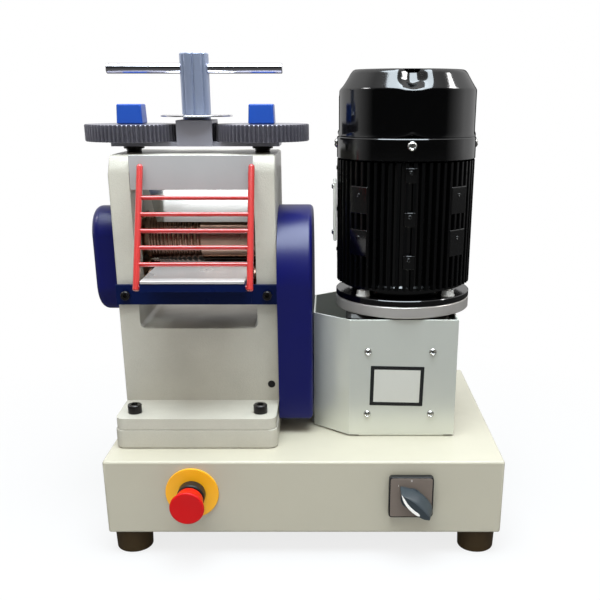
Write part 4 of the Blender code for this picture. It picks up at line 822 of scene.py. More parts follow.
def pattern_tree(pattern: Pattern) -> bpy.types.NodeTree:
    """Build, once, the Geometry Nodes tree of a pattern.

    Args:
        pattern: A ring about Z, a row along a step, or a grid in the XY plane.

    Returns:
        The tree, with named inputs for the unit, the counts, the sizes and the material.
    """
    known = bpy.data.node_groups.get(f"{pattern.value}_of_units")
    if known:
        return known
    tree = bpy.data.node_groups.new(f"{pattern.value}_of_units", "GeometryNodeTree")
    kinds = {"Unit": "NodeSocketObject", "Count": "NodeSocketInt", "Columns": "NodeSocketInt",
             "Radius": FLOAT, "Start": FLOAT, "Step": VECTOR, "Weld": FLOAT,
             "Finish": "NodeSocketMaterial"}
    for name, kind in kinds.items():
        tree.interface.new_socket(name=name, in_out="INPUT", socket_type=kind)
    tree.interface.new_socket(name="Mesh", in_out="OUTPUT", socket_type="NodeSocketGeometry")
    nodes = Nodes(tree)
    given = nodes.add("NodeGroupInput").outputs
    index = nodes.add("GeometryNodeInputIndex").outputs[0]
    turn = 0.0
    if pattern is Pattern.RING:
        share = nodes.math("DIVIDE", index, given["Count"])
        turn = nodes.math("ADD", nodes.math("MULTIPLY", share, TAU), given["Start"])
        across = nodes.math("MULTIPLY", nodes.math("COSINE", turn), given["Radius"])
        along = nodes.math("MULTIPLY", nodes.math("SINE", turn), given["Radius"])
        spot = nodes.add("ShaderNodeCombineXYZ", {0: across, 1: along}).outputs[0]
    else:
        column, row = index, index
        if pattern is Pattern.GRID:
            column = nodes.math("FLOORED_MODULO", index, given["Columns"])
            row = nodes.math("FLOOR", nodes.math("DIVIDE", index, given["Columns"]))
        steps = nodes.add("ShaderNodeCombineXYZ", {0: column, 1: row, 2: index}).outputs[0]
        spot = nodes.vector("MULTIPLY", steps, given["Step"])
    points = nodes.add("GeometryNodePoints", {"Count": given["Count"], "Position": spot})
    unit = nodes.add("GeometryNodeObjectInfo", {"Object": given["Unit"]})
    facing = nodes.add("ShaderNodeCombineXYZ", {2: turn}).outputs[0]
    copies = nodes.add("GeometryNodeInstanceOnPoints", {
        "Points": points.outputs[0], "Instance": unit.outputs["Geometry"], "Rotation": facing})
    real = nodes.add("GeometryNodeRealizeInstances", {0: copies.outputs[0]})
    welded = nodes.add("GeometryNodeMergeByDistance", {0: real.outputs[0],
                                                       "Distance": given["Weld"]})
    finished = nodes.add("GeometryNodeSetMaterial", {"Geometry": welded.outputs[0],
                                                     "Material": given["Finish"]})
    nodes.add("NodeGroupOutput", {0: finished.outputs[0]})
    return tree


def repeat(name: str, unit: BMesh, pattern: Pattern, place: Matrix, finish: Finish, node: str,
           stands_for: bool = False, **values) -> None:
    """Set out copies of a unit with Geometry Nodes, and dress the result as one plain mesh.

    Args:
        name: The new piece's name.
        unit: The unit's mesh, which is used up.
        pattern: How the copies lie.
        place: Where the whole pattern goes.
        finish: Its finish, which the tree sets too.
        node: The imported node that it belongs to.
        stands_for: Whether that node is then hidden.
        values: The tree's other inputs by name.
    """
    tree = pattern_tree(pattern)
    original = as_object(f"{name}_unit", unit)
    piece = linked(name, bpy.data.meshes.new(name))
    change = piece.modifiers.new("pattern", "NODES")
    change.node_group = tree
    values = {"Unit": original, "Finish": finish.material(), "Radius": 0.0, "Start": 0.0,
              "Weld": 0.0, **values}
    for socket in tree.interface.items_tree:
        if socket.in_out == "INPUT" and socket.name in values:
            change[socket.identifier] = values[socket.name]
    settled(piece).data.transform(place)
    bpy.data.objects.remove(original)
    dress(piece, finish, node, stands_for)


def socket_screw(radius: float, height: float, hex_across: float, depth: float) -> BMesh:
    """Return a socket cap screw's head, standing on its own Z = 0.

    Args:
        radius: Radius of the head.
        height: Height of the head.
        hex_across: Width of the socket across its flats.
        depth: Depth of the socket.

    Returns:
        A closed mesh.
    """
    chamfer, sides = radius / 10, 36
    share = sides // 6
    mesh = bmesh.new()
    rings = [circle(mesh, r, z, sides) for r, z in (
        (radius, 0), (radius, height - chamfer), (radius - chamfer, height))]
    mesh.faces.new(reversed(rings[0]))
    skin(mesh, rings)
    top, floor = (ring_of(mesh, hexagon(hex_across), z) for z in (height, height - depth))
    for k in range(6):
        fan = [rings[-1][(k * share + step) % sides] for step in range(share + 1)]
        mesh.faces.new(fan + [top[(k + 1) % 6], top[k]])
    skin(mesh, (top, floor))
    mesh.faces.new(floor)
    return outward(mesh)


def dome_screw(radius: float, height: float) -> BMesh:
    """Return a dome-headed screw with a cross recess, standing on its own Z = 0.

    Args:
        radius: Radius of the head.
        height: Height of the head.

    Returns:
        A closed mesh.
    """
    steps = 7
    dome = [(radius * math.cos(TAU / 4 * k / steps), height * math.sin(TAU / 4 * k / steps))
            for k in range(steps)]
    head = turned([(0, 0)] + dome + [(0, height)], sides=32)
    arm, width = radius * 0.55, radius * 0.17
    for vert in head.verts:
        x, y, z = vert.co
        if z > height * 0.6 and min(abs(x), abs(y)) < width and max(abs(x), abs(y)) < arm:
            vert.co.z -= height * 0.35
    return head


def hex_bolt(across: float, height: float, washer_r: float, washer_t: float) -> BMesh:
    """Return a hex head on a washer, standing on its own Z = 0.

    Args:
        across: Width of the head across its flats.
        height: Height of the head.
        washer_r: Radius of the washer.
        washer_t: Thickness of the washer.

    Returns:
        One mesh of the washer, the head and the stud's end.
    """
    disc = rod(washer_r, 0, washer_t, sides=36)
    top = washer_t + height
    head = lofted(((hexagon(across), washer_t), (hexagon(across), top - height * 0.14),
                   (hexagon(across * 0.93), top)))
    stud = turned(((0, top), (across * 0.26, top), (across * 0.22, top + height * 0.3),
                   (0, top + height * 0.3)), sides=24)
    return merged(disc, head, stud)


TOOTH_RISE, TOOTH_ROOT, TOOTH_SHARE, FLANK_BULGE = 0.92, 1.2, 0.86, 0.045
PRESSURE_ANGLE = math.radians(20)


def gear_unit(teeth: int, tip_r: float, bore_r: float, width: float, edge: float) -> BMesh:
    """Return one tooth's share of a spur gear, open towards its neighbours.

    Args:
        teeth: Number of teeth of the whole gear.
        tip_r: Radius over the teeth.
        bore_r: Radius of the bore.
        width: Width of the gear along its axis.
        edge: Chamfer of the tooth tips.

    Returns:
        The share from Z = 0 to the width, centred on +X.
    """
    module = tip_r / (teeth / 2 + TOOTH_RISE)
    root_r = module * (teeth / 2 - TOOTH_ROOT)
    half_pitch = math.pi / teeth
    half_tooth = math.pi * module * TOOTH_SHARE / 4
    steps = 4

    def flank(inset: float) -> list[Pair]:
        """Return radius and angle points from the root gap's middle to the tooth's."""
        points = [(root_r, half_pitch)]
        for k in range(steps + 1):
            radius = root_r + (tip_r - inset - root_r) * k / steps
            thick = half_tooth - (radius - module * teeth / 2) * math.tan(PRESSURE_ANGLE)
            bulge = module * FLANK_BULGE * math.sin(math.pi * k / steps)
            points.append((radius, (thick + bulge) / radius))
        return points + [(tip_r - inset, 0)]

    mesh = bmesh.new()
    columns = []
    for height, inset in ((0, edge), (edge, 0), (width - edge, 0), (width, edge)):
        half = flank(inset)
        outline = [(r, -a) for r, a in half] + half[-2::-1]
        columns.append(ring_of(mesh, [polar(r, a) for r, a in outline], height))
    skin(mesh, columns, closed=False)
    low, high = (ring_of(mesh, [polar(bore_r, a) for a in (-half_pitch, half_pitch)], height)
                 for height in (0, width))
    mesh.faces.new((low[1], low[0], high[0], high[1]))
    mesh.faces.new(low + columns[0][::-1])
    mesh.faces.new(high[::-1] + columns[-1])
    return mesh


def domed_shell(outline_of: Callable[[float], list[Pair]], radius: float, depth: float,
                edge: float, wall: float, steps: int = 8) -> BMesh:
    """Return a pressed cover, open at Z = 0, whose far face is drawn in by a round edge.

    Args:
        outline_of: Gives the cover's outline for a radius.
        radius: Outer radius of the outline's round parts.
        depth: How far the cover stands out.
        edge: Radius of the round edge.
        wall: Thickness of the sheet.
        steps: Steps of the round edge.

    Returns:
        A closed shell.
    """
    walls = []
    for size, bend in ((radius, edge), (radius - wall, edge - wall)):
        levels = [(outline_of(size), 0)]
        for k in range(steps + 1):
            angle = TAU / 4 * k / steps
            levels.append((outline_of(size - bend * (1 - math.cos(angle))),
                           depth - edge + bend * math.sin(angle)))
        walls.append(levels)
    outer, inner = walls
    return lofted(inner[::-1] + outer)


@dataclass
class Assembly:
    """A sub-assembly: nodes that keep their shape and get finer edges, and pieces made anew."""

    kept: tuple = ()

    def build(self) -> None:
        """Dress each kept node, given with its finish and edge width, and make the rest."""
        for node, finish, width in self.kept:
            dress(refined(node, width), finish, node)
        self.make()

    def make(self) -> None:
        """Make the other pieces."""


@dataclass
class BaseCabinet(Assembly):
    """Sheet base with its feet, bottom plate, gland and electrics."""

    kept: tuple = (("base_cabinet", BASE_PAINT, 0.0), ("base_bottom_plate", CABINET_SHEET, 0.0),
                   ("contactor_block", SATIN_BLACK, 0.0))
    foot_edge: float = 2.5 * MM
    foot_taper: float = 0.8 * MM
    foot_band: float = 1.0 * MM
    gland_across: float = 19 * MM
    gland_edge: float = 0.5 * MM

    def make(self) -> None:
        """Make the four feet and the gland."""
        for corner in CORNERS:
            self.foot(f"foot_{corner}")
        self.gland()

    def foot(self, node: str) -> None:
        """Make one rubber foot, slightly tapered, with a round lower edge.

        Args:
            node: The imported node.
        """
        _, high, radius, place = upright(node)
        land = radius - self.foot_taper - self.foot_edge
        profile = [(0, 0)] + arc((land, self.foot_edge), self.foot_edge, -TAU / 4, 0, steps=5)
        profile += [(radius, high.z - self.foot_band), (radius, high.z), (0, high.z)]
        add(f"{node}_rubber", turned(profile, sides=72), place, FOOT_RUBBER, node)

    def gland(self) -> None:
        """Make the cable gland with its hex body and round dome nut."""
        low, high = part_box("cable_gland")
        spot = middle("cable_gland")
        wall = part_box("base_cabinet")[1].y
        length, radius = high.y - wall, (high.x - low.x) / 2
        bore, hex_l, nut_r = radius * 0.45, length * 0.35, radius * 0.92
        body = soften(raised(hexagon(self.gland_across), AIR, hex_l), self.gland_edge, segments=2)
        nut = turned(((bore, hex_l), (nut_r, hex_l), (nut_r, length * 0.7),
                      (radius * 0.62, length), (bore, length)), sides=48)
        add("cable_gland_parts", merged(body, nut), Facing.BACK.at((spot.x, wall, spot.z)),
            SATIN_BLACK, "cable_gland")


@dataclass
class StopButton(Assembly):
    """Legend ring, collar and the red button of the emergency stop."""

    ring_bore: float = 11.3 * MM
    ring_edge: Pair = (0.5 * MM, 0.4 * MM)
    collar_neck_r: float = 10.8 * MM
    collar_edge: float = 1.2 * MM
    well_r: float = 6.6 * MM
    well_l: float = 6 * MM
    stem_r: float = 5.8 * MM
    back_r: float = 15.2 * MM
    back_edge: Pair = (1.0 * MM, 0.9 * MM)
    flare: float = 0.6 * MM
    brow: float = 1.2 * MM
    face_edge: float = 2.2 * MM
    face_dish: float = 0.6 * MM
    skirt_l: float = 15.5 * MM
    press: float = 4.4 * MM

    def make(self) -> None:
        """Make the three pieces on one axis that points to the front."""
        place, ring_r, _, ring_t = on_base_front("estop_legend_ring")
        across, along = self.ring_edge
        ring = turned(((self.ring_bore, AIR), (ring_r, AIR), (ring_r, ring_t - along),
                       (ring_r - across, ring_t), (self.ring_bore, ring_t)))
        add("legend_ring", ring, place, LEGEND_PLASTIC, "estop_legend_ring")

        _, collar_r, back, front = on_base_front("estop_collar")
        well = front - self.well_l
        collar = turned(((0, back), (self.collar_neck_r, back), (self.collar_neck_r, ring_t),
                         (collar_r, ring_t + AIR), (collar_r, front - self.collar_edge),
                         (collar_r - self.collar_edge, front), (self.well_r, front),
                         (self.well_r, well), (0, well)))
        add("stop_collar", collar, place, SATIN_BLACK, "estop_collar")

        _, head_r, stem_back, face = on_base_front("estop_button")
        neck, (across, along) = front + self.press, self.back_edge
        brow = face - self.face_edge
        profile = [(0, stem_back), (self.stem_r, stem_back), (self.stem_r, neck),
                   (self.back_r - across, neck), (self.back_r, neck + along),
                   (self.back_r + self.flare, face - self.skirt_l),
                   (head_r - self.flare, brow - self.brow)]
        profile += arc((head_r - self.face_edge, brow), self.face_edge, 0, TAU / 4, steps=6)
        profile += [(head_r / 2, face - self.face_dish / 3), (0, face - self.face_dish)]
        add("stop_button", turned(profile), place, BUTTON_PLASTIC, "estop_button")


@dataclass
class CamSwitch(Assembly):
    """Square switch plate with its metal face, its position marks and the lever knob."""

    rim: float = 1.6 * MM
    corner: float = 4 * MM
    plate_edge: float = 1.0 * MM
    rear_size: tuple = (42 * MM, 42 * MM, 38 * MM)
    rear_back: float = 40.4 * MM
    face_t: float = 0.35 * MM
    face_drop: float = 0.02 * MM
    face_edge: float = 0.12 * MM
    stem_r: float = 3.8 * MM
    stem_l: float = 5 * MM
    hub_r: float = 12 * MM
    hub_t: float = 3 * MM
    leaf: tuple = ((19, -1), (13, 3.6), (5, 6.2), (-4, 6.8), (-13, 6.2), (-21, 3.6), (-26, -1),
                   (-26.5, -6), (-22, -10.5), (-13, -12.5), (-3, -12.5), (6, -10), (13, -6.5))
    leaf_shares: tuple = ((0, 0.25), (0.12, 0), (0.4, 0.05), (0.88, 0.82), (0.96, 0.92), (1, 1.08))
    stripe: tuple = ((18.2, -0.6), (12, 3.1), (4, 5.3), (-5, 5.6), (-12, 4.6), (-14, 2.6),
                     (-11, 1.8), (-4, 2.5), (4, 2.3), (12, 0.6))
    stripe_share: float = 0.80
    stripe_rise: float = 0.2 * MM
    stripe_edge: float = 0.15 * MM
    lean: float = math.radians(45)
    mark_size: float = 3.6 * MM
    mark_t: float = 0.05 * MM

    def make(self) -> None:
        """Make the plate, its face and marks, and the knob."""
        place, half, _, front = on_base_front("switch_plate")
        plate = raised(rounded((half, half), self.corner), AIR, front - self.face_t)
        rear = moved(block(self.rear_size), up(-self.rear_back))
        add("switch_body", merged(soften(plate, self.plate_edge), rear), place, SATIN_BLACK,
            "switch_plate")
        inner = rounded((half - self.rim, half - self.rim), self.corner - self.rim)
        face = raised(inner, front - 2 * self.face_t, front - self.face_drop)
        add("switch_face", soften(face, self.face_edge, segments=1), place, SWITCH_FACE, "switch_plate",
            False)
        reach = half - self.rim - self.mark_size * 0.75
        for text, angle in (("0", TAU / 4), ("1", TAU * 3 / 8)):
            self.mark(text, place @ Matrix.Translation(polar(reach, angle, front)))
        self.knob(place, front)

    def mark(self, text: str, place: Matrix) -> None:
        """Put one plain position number on the face.

        Args:
            text: The number.
            place: Where it stands.
        """
        curve = bpy.data.curves.new(f"mark_{text}", "FONT")
        curve.body = text
        curve.size = self.mark_size
        curve.align_x, curve.align_y = "CENTER", "CENTER"
        curve.extrude = self.mark_t
        words = linked(f"mark_{text}", curve)
        graph = bpy.context.evaluated_depsgraph_get()
        mesh = bmesh.new()
        mesh.from_mesh(bpy.data.meshes.new_from_object(words.evaluated_get(graph)))
        bpy.data.objects.remove(words)
        add(f"switch_mark_{text}", mesh, place, WHITE_MARK, "switch_plate", False)

    def knob(self, place: Matrix, front: float) -> None:
        """Make the knob: a hub, a skirt like a leaf, its ridge, and the white pointer stripe.

        Args:
            place: The switch's place.
            front: How far its face stands out.
        """
        place = place @ Matrix.Rotation(math.pi - self.lean, 4, "Z")
        base = front + AIR
        *_, top = on_base_front("switch_knob")
        rise = top - base
        leaf = smooth_loop(self.leaf)

        def level(share: float, narrow: float) -> tuple[list[Pair], float]:
            """Return the leaf at a height, with its right side drawn in towards the ridge."""
            points = [(u * (1 - 0.05 * narrow), v * (1 - narrow * (0.62 if v < 0 else 0.24)))
                      for u, v in leaf]
            return points, base + rise * share

        grip = lofted([level(*shares) for shares in self.leaf_shares])
        hub = turned(stepped(front - self.stem_l, (self.stem_r, base),
                             (self.hub_r, base + self.hub_t)), sides=48)
        add("knob_leaf", merged(grip, hub), place, LEVER_GREY, "switch_knob")
        stripe = raised(smooth_loop(self.stripe), base + rise * self.stripe_share,
                        top + self.stripe_rise)
        add("knob_stripe", soften(stripe, self.stripe_edge, segments=1), place, WHITE_MARK, "switch_knob",
            False)


@dataclass
class MillFrame(Assembly):
    """Pedestal, cast frame, crown plate and the frame's bolts."""

    kept: tuple = (("mill_frame", FRAME_PAINT, 0.7 * MM), ("crown_plate", CROWN_PAINT, 0.4 * MM))
    pedestal_edge: float = 1.6 * MM
    corner: float = 10 * MM
    plug_r: float = 4.5 * MM
    plug_t: float = 1.2 * MM
    plug_inset: float = 9.5 * MM
    plug_rise: float = 33.7 * MM
    bolt_hex: float = 8 * MM
    bolt_depth: float = 6 * MM
    bolt_rise: float = 13.6 * MM
    shank_r: float = 4.9 * MM
    shank_overlap: float = 0.1 * MM

    def make(self) -> None:
        """Make the pedestal, the foot bolts and the dark plug low on the right column."""
        low, high, half, place = upright("pedestal")
        outline = rounded((half, (high.y - low.y) / 2), self.corner, 10)
        add("pedestal_casting", soften(raised(outline, low.z, high.z), self.pedestal_edge, segments=4),
            place, FRAME_PAINT, "pedestal")
        for corner in CORNERS:
            self.bolt(f"foot_bolt_{corner}", high.z + self.bolt_rise)
        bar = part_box("guard_crossbar")[1]
        spot = (bar.x - self.plug_inset, bar.y + AIR, high.z + self.plug_rise)
        add("frame_plug", dome_screw(self.plug_r, self.plug_t), Facing.FRONT.at(spot),
            BLACK_OXIDE, "mill_frame", False)

    def bolt(self, node: str, seat: float) -> None:
        """Make one socket cap screw, with its shank, on the flange's upper face.

        Args:
            node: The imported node.
            seat: Height of the flange's upper face.
        """
        low, high, radius, place = upright(node)
        head = moved(socket_screw(radius, high.z - seat, self.bolt_hex, self.bolt_depth), up(seat))
        shank = rod(self.shank_r, low.z, seat + self.shank_overlap, sides=24)
        add(f"{node}_screw", merged(head, shank), place, BLACK_OXIDE, node)


@dataclass
class Rolls(Assembly):
    """Both rolls with their wire grooves, and the bearing blocks."""

    kept: tuple = tuple((f"{level}_bearing_block_{side}", BRONZE, 0.5 * MM)
                        for level in ("lower", "upper") for side in SIDES)
    grooves: int = 12
    first_width: float = 3.15 * MM
    growth: float = 1.085
    groove_start: float = 4.5 * MM
    depth_share: float = 0.36
    floor_share: float = 0.10
    top_share: float = 0.98
    edge: float = 0.7 * MM
    end_gap: float = 3.7 * MM
    seat_gap: float = 1.0 * MM
    seat_r: float = 10 * MM
    neck_r: float = 14 * MM

    def make(self) -> None:
        """Make the two rolls."""
        for node in ("lower_roll", "upper_roll"):
            self.roll(node)

    def roll(self, node: str) -> None:
        """Turn one roll: necks, flat part and the grooves, finest at the left.

        Args:
            node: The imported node.
        """
        low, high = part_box(node)
        spot = middle(node)
        radius = (high.z - low.z) / 2
        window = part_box("crown_plate")
        left, right = window[0].x + self.end_gap, window[1].x - self.end_gap
        seat_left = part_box("mill_frame")[0].x - self.seat_gap
        seat_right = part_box("guard_crossbar")[1].x + self.seat_gap
        profile = stepped(low.x, (self.seat_r, seat_left), (self.neck_r, left))[:-1]
        profile += [(radius - self.edge, left), (radius, left + self.edge)]
        place, width = left + self.groove_start, self.first_width
        for _ in range(self.grooves):
            deep, floor = radius - width * self.depth_share, width * self.floor_share
            profile += [(radius, place), (deep, place + width / 2 - floor),
                        (deep, place + width / 2 + floor), (radius, place + width * self.top_share)]
            place += width
            width *= self.growth
        profile += [(radius, right - self.edge), (radius - self.edge, right)]
        if high.x > seat_right + self.edge:
            profile += stepped(right, (self.neck_r, seat_right), (self.seat_r, high.x))[1:]
        else:
            profile += stepped(right, (self.neck_r, high.x))[1:]
        add(f"{node}_ground", turned(profile, sides=128), Facing.RIGHT.at((0, spot.y, spot.z)),
            ROLL_STEEL, node)


@dataclass
class Feed(Assembly):
    """Crossbar, feed table, stripper plate and the swing guard."""

    kept: tuple = (("guard_crossbar", BAR_BLUE, 0.8 * MM), ("feed_table", TABLE_STEEL, 0.4 * MM),
                   ("stripper_plate", POLISHED, 0.25 * MM))
    bolt_r: float = 5.25 * MM
    bolt_h: float = 5.5 * MM
    bolt_hex: float = 5 * MM
    bolt_depth: float = 3.2 * MM
    bolt_rise: float = 11 * MM
    bolt_insets: Pair = (10.9 * MM, 11.5 * MM)
    bar_t: float = 5 * MM
    shelf_half: float = 57 * MM
    rail_r: float = 3.65 * MM
    rail_l: float = 135.6 * MM
    rail_edge: float = 0.6 * MM
    rung_r: float = 2.4 * MM
    rungs: int = 5
    first_rung: float = 25.4 * MM
    rung_pitch: float = 18.8 * MM
    rail_gap: float = 123 * MM
    stub_r: float = 2.0 * MM
    stub_l: float = 6 * MM

    def make(self) -> None:
        """Make the crossbar's screws and the guard."""
        low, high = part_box("guard_crossbar")
        first = low.x + self.bolt_insets[0]
        repeat("crossbar_screws",
               socket_screw(self.bolt_r, self.bolt_h, self.bolt_hex, self.bolt_depth), Pattern.ROW,
               Facing.FRONT.at((first, high.y - self.bar_t, low.z + self.bolt_rise)), BLACK_OXIDE,
               "guard_crossbar", Count=2, Step=(high.x - self.bolt_insets[1] - first, 0, 0))
        self.guard()

    def guard(self) -> None:
        """Make the guard's two domed rails, its rungs and its hinge stubs."""
        joint = next(j for j in frame["joints"] if j["name"] == "guard_swing")
        pivot = Vector(joint["pos_m"])
        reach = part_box("guard")[1].y - self.rail_r - pivot.y
        place = Matrix.Translation(pivot) @ Matrix.Rotation(-math.asin(reach / self.rail_l), 4, "X")
        half = self.rail_gap / 2
        profile = [(0, -self.rail_r), (self.rail_r - self.rail_edge, -self.rail_r),
                   (self.rail_r, -self.rail_r + self.rail_edge)]
        profile += arc((0, self.rail_l), self.rail_r, 0, TAU / 4 * 0.98, steps=8)
        profile += [(0, self.rail_l + self.rail_r)]
        repeat("guard_rails", turned(profile, sides=40), Pattern.ROW,
               place @ Matrix.Translation((-half, 0, 0)), GUARD_RED, "guard", True, Count=2,
               Step=(self.rail_gap, 0, 0))
        rung = moved(rod(self.rung_r, 0, self.rail_gap, sides=28),
                     Facing.RIGHT.at((-half, 0, self.first_rung)))
        repeat("guard_rungs", rung, Pattern.ROW, place, GUARD_RED, "guard", Count=self.rungs,
               Step=(0, 0, self.rung_pitch))
        inner = self.shelf_half - self.stub_l
        stubs = (moved(rod(self.stub_r, 0, half - inner, sides=24), facing.at((x, 0, 0)))
                 for facing, x in ((Facing.RIGHT, inner), (Facing.LEFT, -inner)))
        add("guard_stubs", merged(*stubs), place, GUARD_RED, "guard", False)


@dataclass
class Head(Assembly):
    """Pressure screws, gears and caps, the bridge and block, and the handle."""

    kept: tuple = (("bridge_plate", MILLED, 0.6 * MM), ("pinion_block", MILLED, 0.6 * MM))
    screw_teeth: int = 66
    spindle_teeth: int = 28
    tooth_edge: float = 0.9 * MM
    screw_r: float = 9 * MM
    tip_r: float = 6 * MM
    tip_rise: float = 2.5 * MM
    spigot_r: float = 7 * MM
    collar_r: float = 12 * MM
    collar_t: float = 3.0 * MM
    collar_edge: float = 0.4 * MM
    thread_edge: float = 1.0 * MM
    thread_pitch: float = 2 * MM
    thread_depth: float = 0.8 * MM
    thread_shares: tuple = (0.35, 0.6, 0.75)
    cap_edge: float = 1.6 * MM
    cap_corner: float = 2.2 * MM
    cap_share: float = 0.94
    cap_angle: float = math.radians(60)
    gear_bore: float = 7 * MM
    shaft_radii: tuple = (8 * MM, 12 * MM, 16 * MM)
    shaft_overlap: float = 0.2 * MM
    knurl_r: float = 16.5 * MM
    knurl_edge: float = 0.9 * MM
    ridges: int = 8
    groove: float = 2.2 * MM
    ridge_steps: int = 14
    dial_bore: float = 12.3 * MM
    dial_edge: float = 0.3 * MM
    tick_count: int = 40
    tick_size: tuple = (4.5 * MM, 0.4 * MM, 0.05 * MM)
    tick_sink: float = 0.01 * MM
    tick_margin: float = 1.0 * MM
    bar_edge: float = 1.4 * MM

    def make(self) -> None:
        """Make the whole screw-down head."""
        for side in SIDES:
            self.screw(f"pressure_screw_{side}")
            self.wheel(f"screw_gear_{side}")
            self.cap(f"screw_cap_{side}")
        self.spindle()
        self.dial()
        self.tee()

    def screw(self, node: str) -> None:
        """Turn one pressure screw: tip, thread, collar and the spigot in its gear.

        Args:
            node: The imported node.
        """
        low, high, _, place = upright(node)
        bridge_low, bridge_high = (corner.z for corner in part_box("bridge_plate"))
        radius, root = self.screw_r, self.screw_r - self.thread_depth
        tip_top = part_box("crown_plate")[0].z + self.tip_rise
        collar_top = bridge_low - AIR
        collar = collar_top - self.collar_t
        start = tip_top + self.thread_edge
        profile = [(0, low.z), (self.tip_r, low.z), (self.tip_r, tip_top),
                   (radius - self.thread_edge, tip_top), (radius, start)]
        for _ in range(int((collar - self.thread_edge - start) / self.thread_pitch)):
            crest, fall, rise = (start + self.thread_pitch * s for s in self.thread_shares)
            start += self.thread_pitch
            profile += [(radius, crest), (root, fall), (root, rise), (radius, start)]
        profile += [(radius, collar), (self.collar_r - self.collar_edge, collar),
                    (self.collar_r, collar + self.collar_edge), (self.collar_r, collar_top)]
        profile += stepped(collar_top, (radius, bridge_high), (self.spigot_r, high.z))[1:]
        add(f"{node}_thread", turned(profile, sides=64), place, BLACK_OXIDE, node)

    def wheel(self, node: str) -> None:
        """Make one large screw gear.

        Args:
            node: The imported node.
        """
        low, high, _, place = upright(node)
        tooth = gear_unit(self.screw_teeth, (high.y - low.y) / 2, self.spigot_r + AIR,
                          high.z - low.z, self.tooth_edge)
        repeat(f"{node}_teeth", tooth, Pattern.RING, place @ up(low.z), GEAR_STEEL, node, True,
               Count=self.screw_teeth, Start=math.pi / self.screw_teeth, Weld=WELD)

    def cap(self, node: str) -> None:
        """Make one square cap that narrows towards its top.

        Args:
            node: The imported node.
        """
        low, high, half, place = upright(node)
        levels = [(rounded((half * share, half * share), self.cap_corner, steps=4), height)
                  for share, height in ((1, 0), (self.cap_share, high.z - low.z))]
        mesh = soften(lofted(levels), self.cap_edge, segments=4, angle=self.cap_angle)
        add(f"{node}_moulding", mesh, place @ up(low.z), CAP_PLASTIC, node)

    def spindle(self) -> None:
        """Make the spindle: its small gear, its shaft and the fluted head."""
        low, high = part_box("spindle")
        wheel_low, wheel_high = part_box("screw_gear_right")
        dial_low, dial_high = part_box("dial_disc")
        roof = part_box("pinion_block")[1].z
        *_, place = upright("pinion_block")
        module = (wheel_high.y - wheel_low.y) / 2 / (self.screw_teeth / 2 + TOOTH_RISE)
        tooth = gear_unit(self.spindle_teeth, module * (self.spindle_teeth / 2 + TOOTH_RISE),
                          self.gear_bore, wheel_high.z - wheel_low.z, self.tooth_edge)
        repeat("spindle_gear", tooth, Pattern.RING, place @ up(wheel_low.z), GEAR_STEEL, "spindle",
               Count=self.spindle_teeth, Weld=WELD)
        slim, middling, thick = self.shaft_radii
        foot = dial_high.z + AIR
        shaft = turned(stepped(low.z, (slim, wheel_low.z + AIR), (middling, roof + AIR),
                               (thick, dial_low.z - AIR), (middling, foot + self.shaft_overlap)), sides=64)

        def ridged(inset: float) -> list[Pair]:
            """Return the fluted head's outline, drawn in by an inset."""
            points = []
            for k in range(self.ridges * self.ridge_steps):
                angle = TAU * k / (self.ridges * self.ridge_steps)
                wave = abs(math.sin(self.ridges / 2 * angle))
                points.append(polar(self.knurl_r - inset - self.groove * (1 - wave) ** 3, angle))
            return points

        edge = self.knurl_edge
        head = lofted(((ridged(edge), foot), (ridged(0), foot + edge), (ridged(0), high.z - edge),
                       (ridged(edge), high.z)))
        add("spindle_head", merged(shaft, head), place, SPINDLE_CHROME, "spindle")

    def dial(self) -> None:
        """Make the bright dial disc with plain division marks."""
        low, high, radius, place = upright("dial_disc")
        add("dial_plate", washer(self.dial_bore, radius, low.z, high.z, self.dial_edge, sides=128),
            place, CHROME, "dial_disc")
        tick = moved(block(self.tick_size), up(high.z - self.tick_sink))
        repeat("dial_marks", tick, Pattern.RING, place, LABEL_BLACK, "dial_disc",
               Count=self.tick_count, Radius=radius - self.tick_size[0] / 2 - self.tick_margin)

    def tee(self) -> None:
        """Make the tee bar with its rounded ends."""
        low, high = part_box("tee_bar")
        spot = middle("tee_bar")
        edge = self.bar_edge
        land = (high.z - low.z) / 2 - edge
        profile = [(0, low.x)] + arc((land, low.x + edge), edge, -TAU / 4, 0, steps=5)
        profile += arc((land, high.x - edge), edge, 0, TAU / 4, steps=5) + [(0, high.x)]
        add("tee_bar_rod", turned(profile, sides=64), Facing.RIGHT.at((0, spot.y, spot.z)), CHROME,
            "tee_bar")


